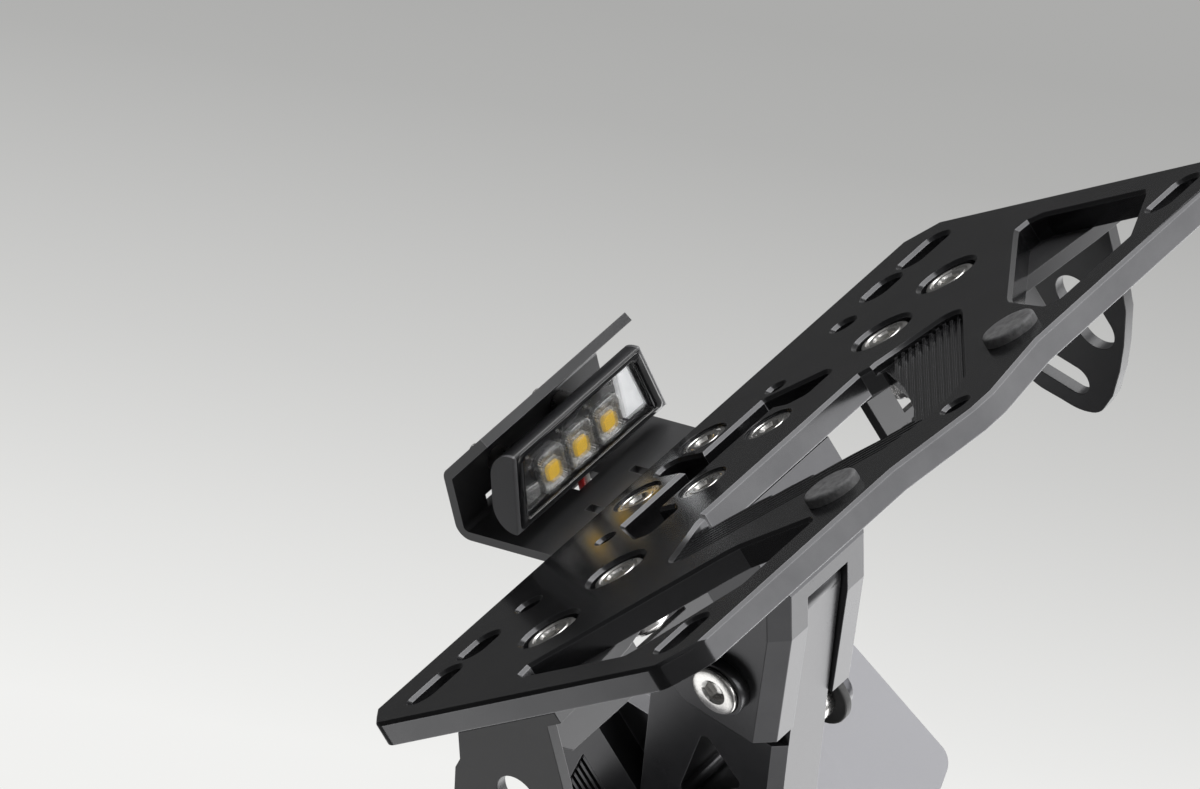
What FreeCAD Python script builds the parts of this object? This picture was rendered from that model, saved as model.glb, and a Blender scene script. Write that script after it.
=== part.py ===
"""Tail tidy: plate carrier, lamp, indicator brackets and the tilting arm that holds them."""

import FreeCAD, Part
import math
import os

import Sketcher

V = FreeCAD.Vector
doc = FreeCAD.newDocument("tail_tidy")
sheet = doc.addObject("Spreadsheet::Sheet", "Sizes")

# Driving dimensions, in millimetres and degrees.
# X runs across the bike, Y forwards from the carrier's face, Z up from the middle of its four block screws.
DRIVING = {
    # carrier plate
    "carrier_thick": 5.0,
    "carrier_half": 86.5,
    "carrier_top": 20.7,
    "carrier_foot": 77.3,
    "shoulder_cut": 6.0,
    "foot_cut": 6.8,
    "tab_half": 22.0,
    "tab_tip_half": 3.0,
    "tab_drop": 5.2,
    "face_bevel": 0.7,
    "slot_outer_across": 74.5,
    "slot_inner_across": 61.3,
    "slot_upper_height": 8.3,
    "slot_foot_drop": 67.0,
    "slot_outer_length": 12.6,
    "slot_inner_length": 9.1,
    "slot_width": 6.1,
    "hole_outer_across": 48.0,
    "hole_outer_height": 6.7,
    "hole_outer_bore": 4.8,
    "hole_inner_across": 26.0,
    "hole_inner_height": 5.6,
    "hole_inner_bore": 3.4,
    "foot_hole_drop": 74.5,
    "foot_hole_bore": 5.2,
    "key_half": 2.9,
    "key_top": 14.9,
    "band_top": 4.9,
    "band_bottom": 1.9,
    "lobe_inner": 17.6,
    "lobe_outer": 28.6,
    "lobe_drop": 9.7,
    "centre_window_top": 22.1,
    "centre_window_half": 26.9,
    "centre_window_foot": 59.0,
    "band_pocket_deep": 2.0,
    "band_pocket_half": 43.5,
    "band_pocket_foot": 68.0,
    "rib_pitch": 2.14,
    "rib_thick": 0.85,
    "rib_high": 0.6,
    "side_window_outer": 78.6,
    "side_window_top": 20.5,
    "side_window_foot": 68.7,
    # rubber pads
    "pad_across": 27.0,
    "pad_drop": 65.0,
    "pad_radius": 5.5,
    "pad_high": 2.0,
    # block screws
    "block_pitch": 20.0,
    "block_pattern_up": 2.0,
    "block_screw_bore": 5.4,
    "block_head_radius": 4.6,
    "block_recess_radius": 5.25,
    "block_recess_deep": 0.5,
    "block_screw_long": 16.0,
    "screw_radius": 2.5,
    "hex_radius": 1.73,
    "hex_deep": 1.8,
    # indicator screws
    "indicator_near": 40.5,
    "indicator_far": 60.5,
    "indicator_drop": 12.5,
    "indicator_head_radius": 5.25,
    "indicator_head_high": 2.6,
    "indicator_recess_radius": 6.0,
    "indicator_recess_deep": 3.3,
    "indicator_bore": 6.4,
    "indicator_shank": 3.0,
    "indicator_end": 13.4,
    "nut_radius": 5.77,
    "nut_high": 5.0,
    # indicator brackets
    "bracket_thick": 2.5,
    "bracket_near": 26.6,
    "bracket_upper": 4.0,
    "bracket_reach": 36.5,
    "web_drop": 12.5,
    "web_end": 75.0,
    "web_deep": 12.5,
    "notch_wide": 14.0,
    "notch_deep": 6.5,
    "leaf_top": 15.0,
    "leaf_forward": 45.3,
    "leaf_slot_width": 9.3,
    "leaf_slot_drop": 12.3,
    "leaf_slot_first": 20.3,
    "leaf_slot_last": 27.7,
    "leaf_second_width": 6.5,
    # lamp bracket
    "sheet_thick": 2.0,
    "sheet_half": 22.0,
    "sheet_tail": 14.5,
    "sheet_bend_up": 23.6,
    "base_rise": 23.5,
    "base_long": 27.3,
    "riser_turn": 92.0,
    "riser_long": 12.1,
    "lip_turn": 47.0,
    "lip_long": 15.9,
    "bend_inner": 1.0,
    "cable_hole_long": 6.0,
    "cable_hole_high": 3.6,
    "cable_hole_along": 16.0,
    "small_slot_across": 6.7,
    "small_slot_along": 6.0,
    "small_slot_long": 6.0,
    "small_slot_wide": 2.0,
    "stud_across": 9.5,
    "stud_offset": 3.0,
    "stud_hole_wide": 3.4,
    "side_hole_across": 12.5,
    "side_hole_below": 6.6,
    "side_hole_long": 4.0,
    "side_hole_wide": 2.8,
    # lamp
    "lamp_centre_forward": -9.9,
    "lamp_centre_up": 30.05,
    "lamp_high": 15.8,
    "lamp_deep": 6.1,
    "lamp_half_short": 19.3,
    "lamp_half_long": 22.7,
    "lamp_round": 5.2,
    "lamp_rim": 0.5,
    "lens_high": 14.0,
    "lens_half_short": 16.6,
    "lens_half_long": 19.4,
    "lens_sink": 0.2,
    "lens_thick": 1.0,
    "bezel_wide": 0.9,
    "cavity_deep": 3.6,
    "board_thick": 0.8,
    "chip_high": 0.5,
    "chip_side": 3.2,
    "chip_pitch": 8.45,
    "chip_offset": 2.7,
    "reflector_thick": 1.1,
    "stud_radius": 1.5,
    "spacer_radius": 2.6,
    "stud_nut_radius": 3.17,
    "stud_nut_high": 2.4,
    "wire_radius": 0.7,
    "wire_apart": 0.8,
    "wire_start": 3.2,
    "wire_hole_forward": 9.6,
    "wire_hole_radius": 1.7,
    # hinge
    "pivot_forward": 39.1,
    "pivot_up": 13.0,
    "pivot_radius": 3.0,
    "running_gap": 0.05,
    "arm_rise": 45.0,
    "ear_half": 14.4,
    "ear_bevel": 3.3,
    "ear_low": 11.0,
    "ear_under": 10.2,
    "ear_over": 12.0,
    "ear_end": 11.5,
    "ear_round": 5.0,
    "slot_half": 6.0,
    "slot_round": 27.0,
    "block_upper": 20.0,
    "block_lower": 16.3,
    "chin_forward": 19.4,
    "chin_rise": 1.7,
    "heel_forward": 28.1,
    "heel_rise": 8.7,
    "tongue_half": 5.6,
    "tongue_round": 26.0,
    "tongue_end_round": 6.0,
    "collar_radius": 6.0,
    "collar_thick": 2.6,
    "collar_seat": 1.2,
    "bolt_head_radius": 5.1,
    "bolt_head_high": 2.2,
    "bolt_hex_radius": 2.31,
    "bolt_hex_deep": 1.5,
    "washer_thick": 1.6,
    "bolt_end": 22.0,
    # arm
    "arm_half": 8.0,
    "arm_bevel": 2.3,
    "shoulder_at": 17.5,
    "bar_over": 20.6,
    "beam_bottom": 64.5,
    "beam_top": 88.0,
    "beam_nose": 34.0,
    "beam_nose_lean": 4.0,
    "beam_front": 116.0,
    "gusset_half": 2.0,
    "gusset_at": 37.5,
    "arm_window_near": 24.7,
    "arm_window_mid": 33.0,
    "arm_window_far": 47.3,
    "arm_window_round": 1.5,
    "beam_pocket_deep": 2.0,
    "beam_pocket_start": 50.8,
    "beam_pocket_bottom": 73.4,
    "beam_pocket_top": 84.6,
    "beam_pocket_end": 84.0,
    "beam_rib_pitch": 1.8,
    "beam_rib_thick": 0.8,
    "beam_rib_high": 1.2,
    # side guide on the arm
    "guide_along": 22.6,
    "guide_across": 4.2,
    "guide_neck_radius": 4.0,
    "guide_neck_long": 4.0,
    "guide_washer_radius": 6.5,
    "guide_washer_thick": 2.0,
    "guide_head_radius": 4.75,
    "guide_head_high": 2.75,
    # mounting plate
    "mount_thick": 5.0,
    "mount_step": 1.0,
    "mount_step_half": 52.0,
    "mount_rear": 62.0,
    "mount_rear_half": 69.3,
    "mount_corner": 107.0,
    "mount_corner_half": 77.4,
    "mount_front": 122.0,
    "mount_front_half": 48.0,
    "mount_round": 4.0,
    "tail_pitch_across": 80.0,
    "tail_pitch_along": 30.0,
    "tail_bore": 6.4,
    "tail_centre": 92.0,
    "arm_screw_first": 72.0,
    "arm_screw_pitch": 18.0,
    "arm_screw_head": 6.0,
    "arm_screw_long": 18.0,
}

for row, (alias, number) in enumerate(DRIVING.items(), start=1):
    sheet.set("A%d" % row, alias.replace("_", " "))
    sheet.set("B%d" % row, str(number))
    sheet.setAlias("B%d" % row, alias)
doc.recompute()


class Dim:
    """A length that carries its number and the formula that the document binds to."""

    def __init__(self, number, text):
        self.number = number
        self.text = text

    def __add__(self, other):
        other = dim(other)
        return Dim(self.number + other.number, "(%s + %s)" % (self.text, other.text))

    def __sub__(self, other):
        other = dim(other)
        return Dim(self.number - other.number, "(%s - %s)" % (self.text, other.text))

    def __mul__(self, other):
        other = dim(other)
        return Dim(self.number * other.number, "(%s * %s)" % (self.text, other.text))

    def __truediv__(self, other):
        other = dim(other)
        return Dim(self.number / other.number, "(%s / %s)" % (self.text, other.text))

    def __radd__(self, other):
        return dim(other) + self

    def __rsub__(self, other):
        return dim(other) - self

    def __rmul__(self, other):
        return dim(other) * self

    def __neg__(self):
        return dim(0) - self


def dim(item):
    """Return a Dim for a plain number, an alias of the sheet or a Dim."""
    if isinstance(item, Dim):
        return item
    if isinstance(item, str):
        return Dim(DRIVING[item], "Sizes.%s" % item)
    return Dim(float(item), "(%.10g)" % item)


def cosine(angle):
    angle = dim(angle)
    return Dim(math.cos(math.radians(angle.number)), "cos(%s)" % angle.text)


def sine(angle):
    angle = dim(angle)
    return Dim(math.sin(math.radians(angle.number)), "sin(%s)" % angle.text)


# Shared places, worked out once from the sheet.
THICK = dim("carrier_thick")
SHEET_BACK = THICK + "sheet_thick"
PIVOT = (dim("pivot_forward"), dim("pivot_up"))
BLOCK_TOP = dim("block_pattern_up") + dim("block_pitch") / 2
BLOCK_BOTTOM = dim("block_pattern_up") - dim("block_pitch") / 2
HALF_PITCH = dim("block_pitch") / 2
BLOCK_PLACES = [(side * HALF_PITCH, height) for side in (-1, 1) for height in (BLOCK_TOP, BLOCK_BOTTOM)]
INDICATOR_PLACES = [
    (side * dim(across), -dim("indicator_drop"))
    for side in (-1, 1)
    for across in ("indicator_near", "indicator_far")
]
MOUNT_TOP = dim("beam_top") + "mount_thick"
PLANES = {"XY": "XY_Plane", "XZ": "XZ_Plane", "YZ": "YZ_Plane"}
QUARTER = 90.0


def bind(thing, values):
    for name, value in values.items():
        thing.setExpression(name, dim(value).text)


def place(thing):
    """Move a finished piece from the carrier's datum to the tail mount."""
    bind(thing, {"Placement.Base.y": -dim("tail_centre"), "Placement.Base.z": -MOUNT_TOP})


def new_body(label):
    body = doc.addObject("PartDesign::Body", label)
    body.Label = label
    place(body)
    return body


def new_sketch(body, name, plane, shift=(0, 0, 0), turn=0):
    """Attach a sketch to one of the body's own planes, shifted and turned in that plane."""
    sketch = body.newObject("Sketcher::SketchObject", name)
    wanted = PLANES[plane]
    support = [feature for feature in body.Origin.OriginFeatures if feature.Role == wanted][0]
    sketch.AttachmentSupport = [(support, "")]
    sketch.MapMode = "FlatFace"
    shift = [dim(item) for item in shift]
    turn = dim(turn)
    sketch.AttachmentOffset = FreeCAD.Placement(
        V(*[item.number for item in shift]), FreeCAD.Rotation(V(0, 0, 1), turn.number)
    )
    for letter, item in zip("xyz", shift):
        sketch.setExpression("AttachmentOffset.Base.%s" % letter, item.text)
    sketch.setExpression("AttachmentOffset.Rotation.Angle", turn.text)
    return sketch


def pin(sketch, geometry, position, point):
    """Hold a point of the sketch at a formula's distance from its origin."""
    for kind, item in zip(("DistanceX", "DistanceY"), point):
        item = dim(item)
        index = sketch.addConstraint(Sketcher.Constraint(kind, -1, 1, geometry, position, item.number))
        sketch.setExpression("Constraints[%d]" % index, item.text)


def polygon(sketch, points):
    """Draw a closed outline with every corner bound to the sheet."""
    points = [(dim(a), dim(b)) for a, b in points]
    first = sketch.GeometryCount
    count = len(points)
    for index, (a, b) in enumerate(points):
        c, d = points[(index + 1) % count]
        sketch.addGeometry(Part.LineSegment(V(a.number, b.number, 0), V(c.number, d.number, 0)), False)
    for index in range(count):
        following = first + (index + 1) % count
        sketch.addConstraint(Sketcher.Constraint("Coincident", first + index, 2, following, 1))
    for index, point in enumerate(points):
        pin(sketch, first + index, 1, point)
    return [(a.number, b.number) for a, b in points]


def circle(sketch, centre, radius):
    radius = dim(radius)
    middle = [dim(item) for item in centre]
    shape = Part.Circle(V(middle[0].number, middle[1].number, 0), V(0, 0, 1), radius.number)
    geometry = sketch.addGeometry(shape, False)
    pin(sketch, geometry, 3, middle)
    index = sketch.addConstraint(Sketcher.Constraint("Radius", geometry, radius.number))
    sketch.setExpression("Constraints[%d]" % index, radius.text)


def rectangle(sketch, centre, length, width):
    """Draw a rectangle by its centre; returns its corners."""
    x, y = dim(centre[0]), dim(centre[1])
    half_long, half_wide = dim(length) / 2, dim(width) / 2
    return polygon(
        sketch,
        [
            (x - half_long, y - half_wide),
            (x + half_long, y - half_wide),
            (x + half_long, y + half_wide),
            (x - half_long, y + half_wide),
        ],
    )


def pad(body, sketch, length, middle=False, back=False):
    feature = body.newObject("PartDesign::Pad", sketch.Name + "_pad")
    feature.Profile = sketch
    feature.Midplane = middle
    feature.Reversed = back
    bind(feature, {"Length": length})
    doc.recompute()
    return feature


def pocket(body, sketch, length, middle=False, back=False):
    """Cut a sketch into the body and make sure that it removes material."""
    before = body.Shape.Volume
    feature = body.newObject("PartDesign::Pocket", sketch.Name + "_cut")
    feature.Profile = sketch
    feature.Midplane = middle
    feature.Reversed = back
    bind(feature, {"Length": length})
    doc.recompute()
    if not feature.Shape.Volume < before:
        raise RuntimeError("%s removes nothing" % feature.Name)
    return feature


def straight_edges(body, matches):
    """Name the body's straight edges whose two ends both pass the test."""
    names = []
    for index, edge in enumerate(body.Shape.Edges, start=1):
        ends = [vertex.Point for vertex in edge.Vertexes]
        if len(ends) == 2 and edge.Curve.TypeId == "Part::GeomLine" and matches(*ends):
            names.append("Edge%d" % index)
    return names


def near(a, b, limit=1e-3):
    return abs(a - b) < limit


def dress(body, kind, name, edges, value):
    """Add a fillet or chamfer on named edges of the body's tip."""
    if not edges:
        raise RuntimeError("%s finds no edge" % name)
    previous = body.Tip
    feature = body.newObject("PartDesign::" + kind, name)
    feature.Base = (previous, edges)
    bind(feature, {"Radius" if kind == "Fillet" else "Size": value})
    doc.recompute()
    return feature


def local(body, point):
    """A point of the placed body, in the body's own frame."""
    return body.Placement.inverse().multVec(point)


def round_corners(body, name, corners, value, axes):
    """Round the edges that stand on sketch corners; axes are the two letters of the corners."""

    def on_corner(start, end):
        a = local(body, start)
        b = local(body, end)
        for first, second in corners:
            hits = [near(getattr(p, axes[0]), first) and near(getattr(p, axes[1]), second) for p in (a, b)]
            if all(hits):
                return True
        return False

    return dress(body, "Fillet", name, straight_edges(body, on_corner), value)


def mirrored(points):
    """A right-hand outline from top to bottom, closed by its mirror image."""
    return list(points) + [(-dim(a), b) for a, b in reversed(points)]


def primitive(kind, name, sizes, base, turn=None):
    """A Part primitive with its sizes and place bound to the sheet."""
    thing = doc.addObject("Part::" + kind, name)
    if turn:
        thing.Placement = FreeCAD.Placement(V(0, 0, 0), turn)
    bind(thing, sizes)
    for letter, item in zip("xyz", base):
        thing.setExpression("Placement.Base.%s" % letter, dim(item).text)
    return thing


def cut(name, base, tool):
    thing = doc.addObject("Part::Cut", name)
    thing.Base = base
    thing.Tool = tool
    return thing


def fuse(name, pieces):
    thing = doc.addObject("Part::MultiFuse", name)
    thing.Shapes = pieces
    return thing


def group(label, pieces):
    """Several like solids that share one node."""
    thing = doc.addObject("Part::Compound", label)
    thing.Label = label
    thing.Links = pieces
    place(thing)
    return thing


FORWARD = FreeCAD.Rotation(V(1, 0, 0), -QUARTER)
RIGHTWARD = FreeCAD.Rotation(V(0, 1, 0), QUARTER)
DOWNWARD = FreeCAD.Rotation(V(1, 0, 0), 2 * QUARTER)


def make_carrier():
    """The milled plate: outline, ribbed bands, windows, slots and screw seats."""
    body = new_body("plate_carrier")
    outline = new_sketch(body, "carrier_outline", "XZ")
    half, top, foot = dim("carrier_half"), dim("carrier_top"), -dim("carrier_foot")
    polygon(
        outline,
        mirrored(
            [
                (half - "shoulder_cut", top),
                (half, top - "shoulder_cut"),
                (half, foot + "foot_cut"),
                (half - "foot_cut", foot),
                ("tab_half", foot),
                ("tab_tip_half", foot - "tab_drop"),
            ]
        ),
    )
    pad(body, outline, THICK, back=True)
    add_band(body)
    cut_windows(body)
    cut_slots(body)
    seat_screws(body)
    bevel_face(body)


def add_band(body):
    """The V-shaped band beside the centre window, with a row of ribs on its floor."""
    shallow = new_sketch(body, "band_pocket", "XZ")
    reach, low = dim("band_pocket_half"), -dim("band_pocket_foot")
    window_top = -dim("centre_window_top")
    band = polygon(
        shallow,
        mirrored(
            [
                ("centre_window_half", window_top - 1.9),
                (reach - 2.5, window_top - 7.9),
                (reach, window_top - 10.9),
                (12.0, low + 3.0),
                (3.0, low),
            ]
        ),
    )
    pocket(body, shallow, "band_pocket_deep")
    round_corners(body, "band_corner", [band[2], band[7]], 3.0, "xz")
    slope = (window_top - 10.9 - low - 3.0) / (reach - 12.0)
    edge_middle = window_top - 10.9 - slope * reach
    edge_out = edge_middle + slope * 45.0
    rib = new_sketch(body, "band_rib", "XZ", (0, 0, -dim("band_pocket_deep")))
    thick = dim("rib_thick")
    polygon(
        rib,
        [
            (45.0, edge_out + 1.0),
            (0, edge_middle + 1.0),
            (-45.0, edge_out + 1.0),
            (-45.0, edge_out + 1.0 + thick),
            (0, edge_middle + 1.0 + thick),
            (45.0, edge_out + 1.0 + thick),
        ],
    )
    raised = pad(body, rib, "rib_high")
    repeat(body, raised, rib, "V_Axis", "rib_pitch", 10)


def repeat(body, feature, sketch, axis, pitch, count):
    """Repeat the last feature along an axis of its sketch."""
    pattern = body.newObject("PartDesign::LinearPattern", sketch.Name + "_row")
    pattern.Originals = [feature]
    pattern.Direction = (sketch, [axis])
    pattern.Occurrences = count
    bind(pattern, {"Length": dim(pitch) * (count - 1)})
    body.Tip = pattern
    doc.recompute()
    return pattern


def cut_windows(body):
    """The upper opening, the centre window and the two side windows."""
    opening = new_sketch(body, "windows", "XZ")
    lobe_in, lobe_out, drop = dim("lobe_inner"), dim("lobe_outer"), dim("lobe_drop")
    upper = polygon(
        opening,
        mirrored(
            [
                ("key_half", "key_top"),
                ("key_half", "band_top"),
                (lobe_out - 7.0, "band_top"),
                (lobe_out, 3.0 - drop),
                (lobe_out - 1.0, -drop),
                (lobe_in + 2.3, -drop),
                (lobe_in, 2.9 - drop),
                (lobe_in, -dim("band_bottom")),
            ]
        ),
    )
    half, top, foot = dim("centre_window_half"), -dim("centre_window_top"), -dim("centre_window_foot")
    centre = polygon(
        opening,
        mirrored(
            [
                (half - 3.3, top),
                (half, top - 3.3),
                (half - 10.4, top - 19.6),
                (5.6, foot + 3.5),
                (2.0, foot),
            ]
        ),
    )
    outer, high, low = dim("side_window_outer"), -dim("side_window_top"), -dim("side_window_foot")
    shape = [
        (outer - 4.2, high),
        (outer - 1.5, high - 0.4),
        (outer, high - 3.2),
        (outer, low + 14.5),
        (outer - 2.9, low + 11.7),
        (outer - 19.8, low),
        (outer - 40.7, low),
        (outer - 42.4, low + 2.3),
        (outer - 37.0, low + 17.9),
        (outer - 35.2, low + 20.2),
        (outer - 6.3, high - 1.7),
    ]
    sides = [polygon(opening, [(side * dim(a), b) for a, b in shape]) for side in (1, -1)]
    pocket(body, opening, THICK * 3, middle=True)
    rounded = [upper[index] for index in (2, 3, 4, 5, 6, 9, 10, 11, 12, 13)]
    rounded += [centre[index] for index in (1, 3, 6, 8)]
    round_corners(body, "window_corners", rounded, 1.3, "xz")
    round_corners(body, "key_ends", [upper[0], upper[15]], dim("key_half") - 0.05, "xz")
    small = [side[index] for side in sides for index in (3, 5, 6, 7, 8, 10)]
    round_corners(body, "side_window_corners", small, 1.0, "xz")


def cut_slots(body):
    """Fixing slots and plain holes for the number plate."""
    slots = new_sketch(body, "slots", "XZ")
    corners = []
    for side in (-1, 1):
        outer = side * dim("slot_outer_across")
        corners += rectangle(slots, (outer, "slot_upper_height"), "slot_outer_length", "slot_width")
        corners += rectangle(slots, (outer, -dim("slot_foot_drop")), "slot_outer_length", "slot_width")
        inner = side * dim("slot_inner_across")
        corners += rectangle(slots, (inner, "slot_upper_height"), "slot_inner_length", "slot_width")
        circle(slots, (side * dim("hole_outer_across"), "hole_outer_height"), dim("hole_outer_bore") / 2)
        circle(slots, (side * dim("hole_inner_across"), "hole_inner_height"), dim("hole_inner_bore") / 2)
    circle(slots, (0, -dim("foot_hole_drop")), dim("foot_hole_bore") / 2)
    pocket(body, slots, THICK * 3, middle=True)
    round_corners(body, "slot_ends", corners, dim("slot_width") / 2 - 0.05, "xz")


def circle_edges(body, radius, depth):
    """Name the circles of one radius that lie at one depth behind the carrier's face."""
    names = []
    for index, edge in enumerate(body.Shape.Edges, start=1):
        if edge.Curve.TypeId == "Part::GeomCircle" and near(edge.Curve.Radius, radius):
            if near(local(body, edge.Curve.Center).y, depth):
                names.append("Edge%d" % index)
    return names


def seat_screws(body):
    """Countersunk seats for the block screws and flat seats for the indicator screws."""
    bores = new_sketch(body, "screw_bores", "XZ")
    for spot in BLOCK_PLACES:
        circle(bores, spot, dim("block_screw_bore") / 2)
    for spot in INDICATOR_PLACES:
        circle(bores, spot, dim("indicator_bore") / 2)
    pocket(body, bores, THICK * 3, middle=True)
    seats = new_sketch(body, "block_seats", "XZ")
    for spot in BLOCK_PLACES:
        circle(seats, spot, "block_recess_radius")
    pocket(body, seats, "block_recess_deep")
    flats = new_sketch(body, "indicator_seats", "XZ")
    for spot in INDICATOR_PLACES:
        circle(flats, spot, "indicator_recess_radius")
    pocket(body, flats, "indicator_recess_deep")
    rims = circle_edges(body, DRIVING["block_screw_bore"] / 2, DRIVING["block_recess_deep"])
    dress(body, "Chamfer", "countersinks", rims, dim("block_head_radius") - dim("block_screw_bore") / 2)


def bevel_face(body):
    """The fine bevel round the carrier's face, its windows, slots and holes."""
    edges = []
    skip = (DRIVING["block_recess_radius"],)
    for index, edge in enumerate(body.Shape.Edges, start=1):
        if edge.Curve.TypeId == "Part::GeomCircle" and any(near(edge.Curve.Radius, r) for r in skip):
            continue
        middle = edge.valueAt((edge.FirstParameter + edge.LastParameter) / 2)
        points = [local(body, middle)] + [local(body, vertex.Point) for vertex in edge.Vertexes]
        if all(near(point.y, 0) for point in points):
            edges.append("Edge%d" % index)
    return dress(body, "Chamfer", "face_bevel_row", edges, "face_bevel")


def make_pads():
    """Two rubber discs glued on the carrier's face."""
    for side, name in ((-1, "plate_pad_left"), (1, "plate_pad_right")):
        body = new_body(name)
        sketch = new_sketch(body, name + "_disc", "XZ")
        circle(sketch, (side * dim("pad_across"), -dim("pad_drop")), "pad_radius")
        pad(body, sketch, "pad_high")
        rim = circle_edges(body, DRIVING["pad_radius"], -DRIVING["pad_high"])
        dress(body, "Chamfer", name + "_rim", rim, 0.4)


def bar(u, w):
    """A point given along and across the sloping arm, from the pivot."""
    u, w = dim(u), dim(w)
    lean, rise = cosine("arm_rise"), sine("arm_rise")
    return (PIVOT[0] + u * lean + w * rise, PIVOT[1] + u * rise - w * lean)


def level(w, height):
    """The point of a line along the arm, w across it, at one height."""
    w, height = dim(w), dim(height)
    lean, rise = cosine("arm_rise"), sine("arm_rise")
    u = (height - PIVOT[1] + w * lean) / rise
    return (PIVOT[0] + u * lean + w * rise, height)


def across(w, half):
    """A test for the edges that run along the arm at one distance across it and one width."""
    lean = math.radians(DRIVING["arm_rise"])

    def test(a, b):
        for p in (a, b):
            y, z = p.y - PIVOT[0].number, p.z - PIVOT[1].number
            if not near(y * math.sin(lean) - z * math.cos(lean), w) or not near(abs(p.x), half):
                return False
        return near(a.x, b.x)

    return test


def edges_like(body, test):
    return straight_edges(body, lambda a, b: test(local(body, a), local(body, b)))


def make_block():
    """The forked hinge block under the carrier."""
    body = new_body("hinge_block")
    side = new_sketch(body, "block_side", "YZ")
    under = dim("ear_low")
    top, low = dim("block_upper"), -dim("block_lower")
    chin = (SHEET_BACK + "chin_forward", low + "chin_rise")
    heel = (SHEET_BACK + "heel_forward", low + "heel_rise")
    corners = polygon(
        side,
        [
            (SHEET_BACK, low),
            (SHEET_BACK + 5.4, low),
            chin,
            heel,
            bar("ear_end", under),
            bar("ear_end", -dim("ear_over")),
            (PIVOT[0] - 10.0, top),
            (SHEET_BACK, top),
        ],
    )
    pad(body, side, dim("ear_half") * 2, middle=True)
    round_corners(body, "ear_corner", [corners[5]], "ear_round", "yz")
    gap = new_sketch(body, "block_gap", "YZ")
    circle(gap, PIVOT, "slot_round")
    pocket(body, gap, dim("slot_half") * 2, middle=True)
    bore = new_sketch(body, "block_bore", "YZ")
    circle(bore, PIVOT, dim("pivot_radius") + "running_gap")
    pocket(body, bore, dim("ear_half") * 3, middle=True)
    threads = new_sketch(body, "block_threads", "XZ", (0, 0, -SHEET_BACK))
    for spot in BLOCK_PLACES:
        circle(threads, spot, "screw_radius")
    pocket(body, threads, 12.0)
    passage = new_sketch(body, "block_passage", "XY", (0, 0, top))
    circle(passage, (0, "wire_hole_forward"), "wire_hole_radius")
    pocket(body, passage, 6.0)
    ends = [chin, heel, bar("ear_end", under)]

    def lower_edge(a, b):
        """The edges of both side faces that run from chin to heel and from heel to ear end."""
        if not near(a.x, b.x) or not near(abs(a.x), DRIVING["ear_half"]):
            return False
        for first, last in zip(ends, ends[1:]):
            line = V(0, (last[0] - first[0]).number, (last[1] - first[1]).number).normalize()
            origin = V(a.x, first[0].number, first[1].number)
            if all((point - origin).cross(line).Length < 1e-3 for point in (a, b)):
                return True
        return False

    dress(body, "Chamfer", "ear_bevels", edges_like(body, lower_edge), "ear_bevel")


def make_arm():
    """The tilting arm: tongue, sloping bar with its window, gusset and ribbed beam."""
    body = new_body("arm")
    half, over, under = dim("arm_half"), dim("bar_over"), dim("ear_under")
    side = new_sketch(body, "arm_side", "YZ")
    bottom, top = dim("beam_bottom"), dim("beam_top")
    polygon(
        side,
        [
            bar("shoulder_at", under),
            level(under, bottom),
            ("beam_front", bottom),
            ("beam_front", top),
            (dim("beam_nose") - "beam_nose_lean", top),
            ("beam_nose", bottom),
            level(-over, bottom),
            bar("shoulder_at", -over),
        ],
    )
    pad(body, side, half * 2, middle=True)
    edges = edges_like(body, across(DRIVING["ear_under"], DRIVING["arm_half"]))
    dress(body, "Chamfer", "arm_bevels", edges, "arm_bevel")
    disc = new_sketch(body, "tongue_disc", "YZ")
    circle(disc, PIVOT, "tongue_round")
    pad(body, disc, dim("tongue_half") * 2, middle=True)
    trims = new_sketch(body, "tongue_trims", "YZ")
    polygon(trims, [bar(-30, under), bar(30, under), bar(30, under + 22), bar(-30, under + 22)])
    polygon(trims, [bar(-30, -over), bar(-30, -over - 12), bar(30, -over - 12), bar(30, -over)])
    pocket(body, trims, half * 2, middle=True)
    reach = math.sqrt(DRIVING["tongue_round"] ** 2 - DRIVING["ear_under"] ** 2)
    end = [item.number for item in bar(-reach, under)]
    round_corners(body, "tongue_end", [end], "tongue_end_round", "yz")
    web = new_sketch(body, "gusset_side", "YZ")
    near_end = bar("gusset_at", -over)
    polygon(
        web,
        [
            near_end,
            bar(dim("gusset_at") + 20, 5.0 - over),
            (level(-over, bottom)[0], bottom + 3.0),
            (near_end[0] - 10.4, bottom + 3.0),
            (near_end[0] - 10.4, bottom),
        ],
    )
    pad(body, web, dim("gusset_half") * 2, middle=True)
    window = new_sketch(body, "arm_window", "YZ")
    corners = polygon(
        window,
        [bar("arm_window_near", -7.8), bar("arm_window_mid", 2.5), bar("arm_window_far", -12.5)],
    )
    pocket(body, window, half * 3, middle=True)
    round_corners(body, "arm_window_corners", corners, "arm_window_round", "yz")
    for sign, name in ((1, "right"), (-1, "left")):
        add_beam_pocket(body, sign, name)
    bore = new_sketch(body, "arm_bore", "YZ")
    circle(bore, PIVOT, dim("pivot_radius") + "running_gap")
    pocket(body, bore, half * 3, middle=True)
    threads = new_sketch(body, "arm_threads", "XY", (0, 0, top))
    for index in range(3):
        circle(threads, (0, dim("arm_screw_first") + dim("arm_screw_pitch") * index), "pivot_radius")
    pocket(body, threads, dim("arm_screw_long") - "mount_thick")
    guide = new_sketch(body, "guide_thread", "YZ", (0, 0, half))
    circle(guide, bar("guide_along", "guide_across"), "screw_radius")
    pocket(body, guide, 7.0)


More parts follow.
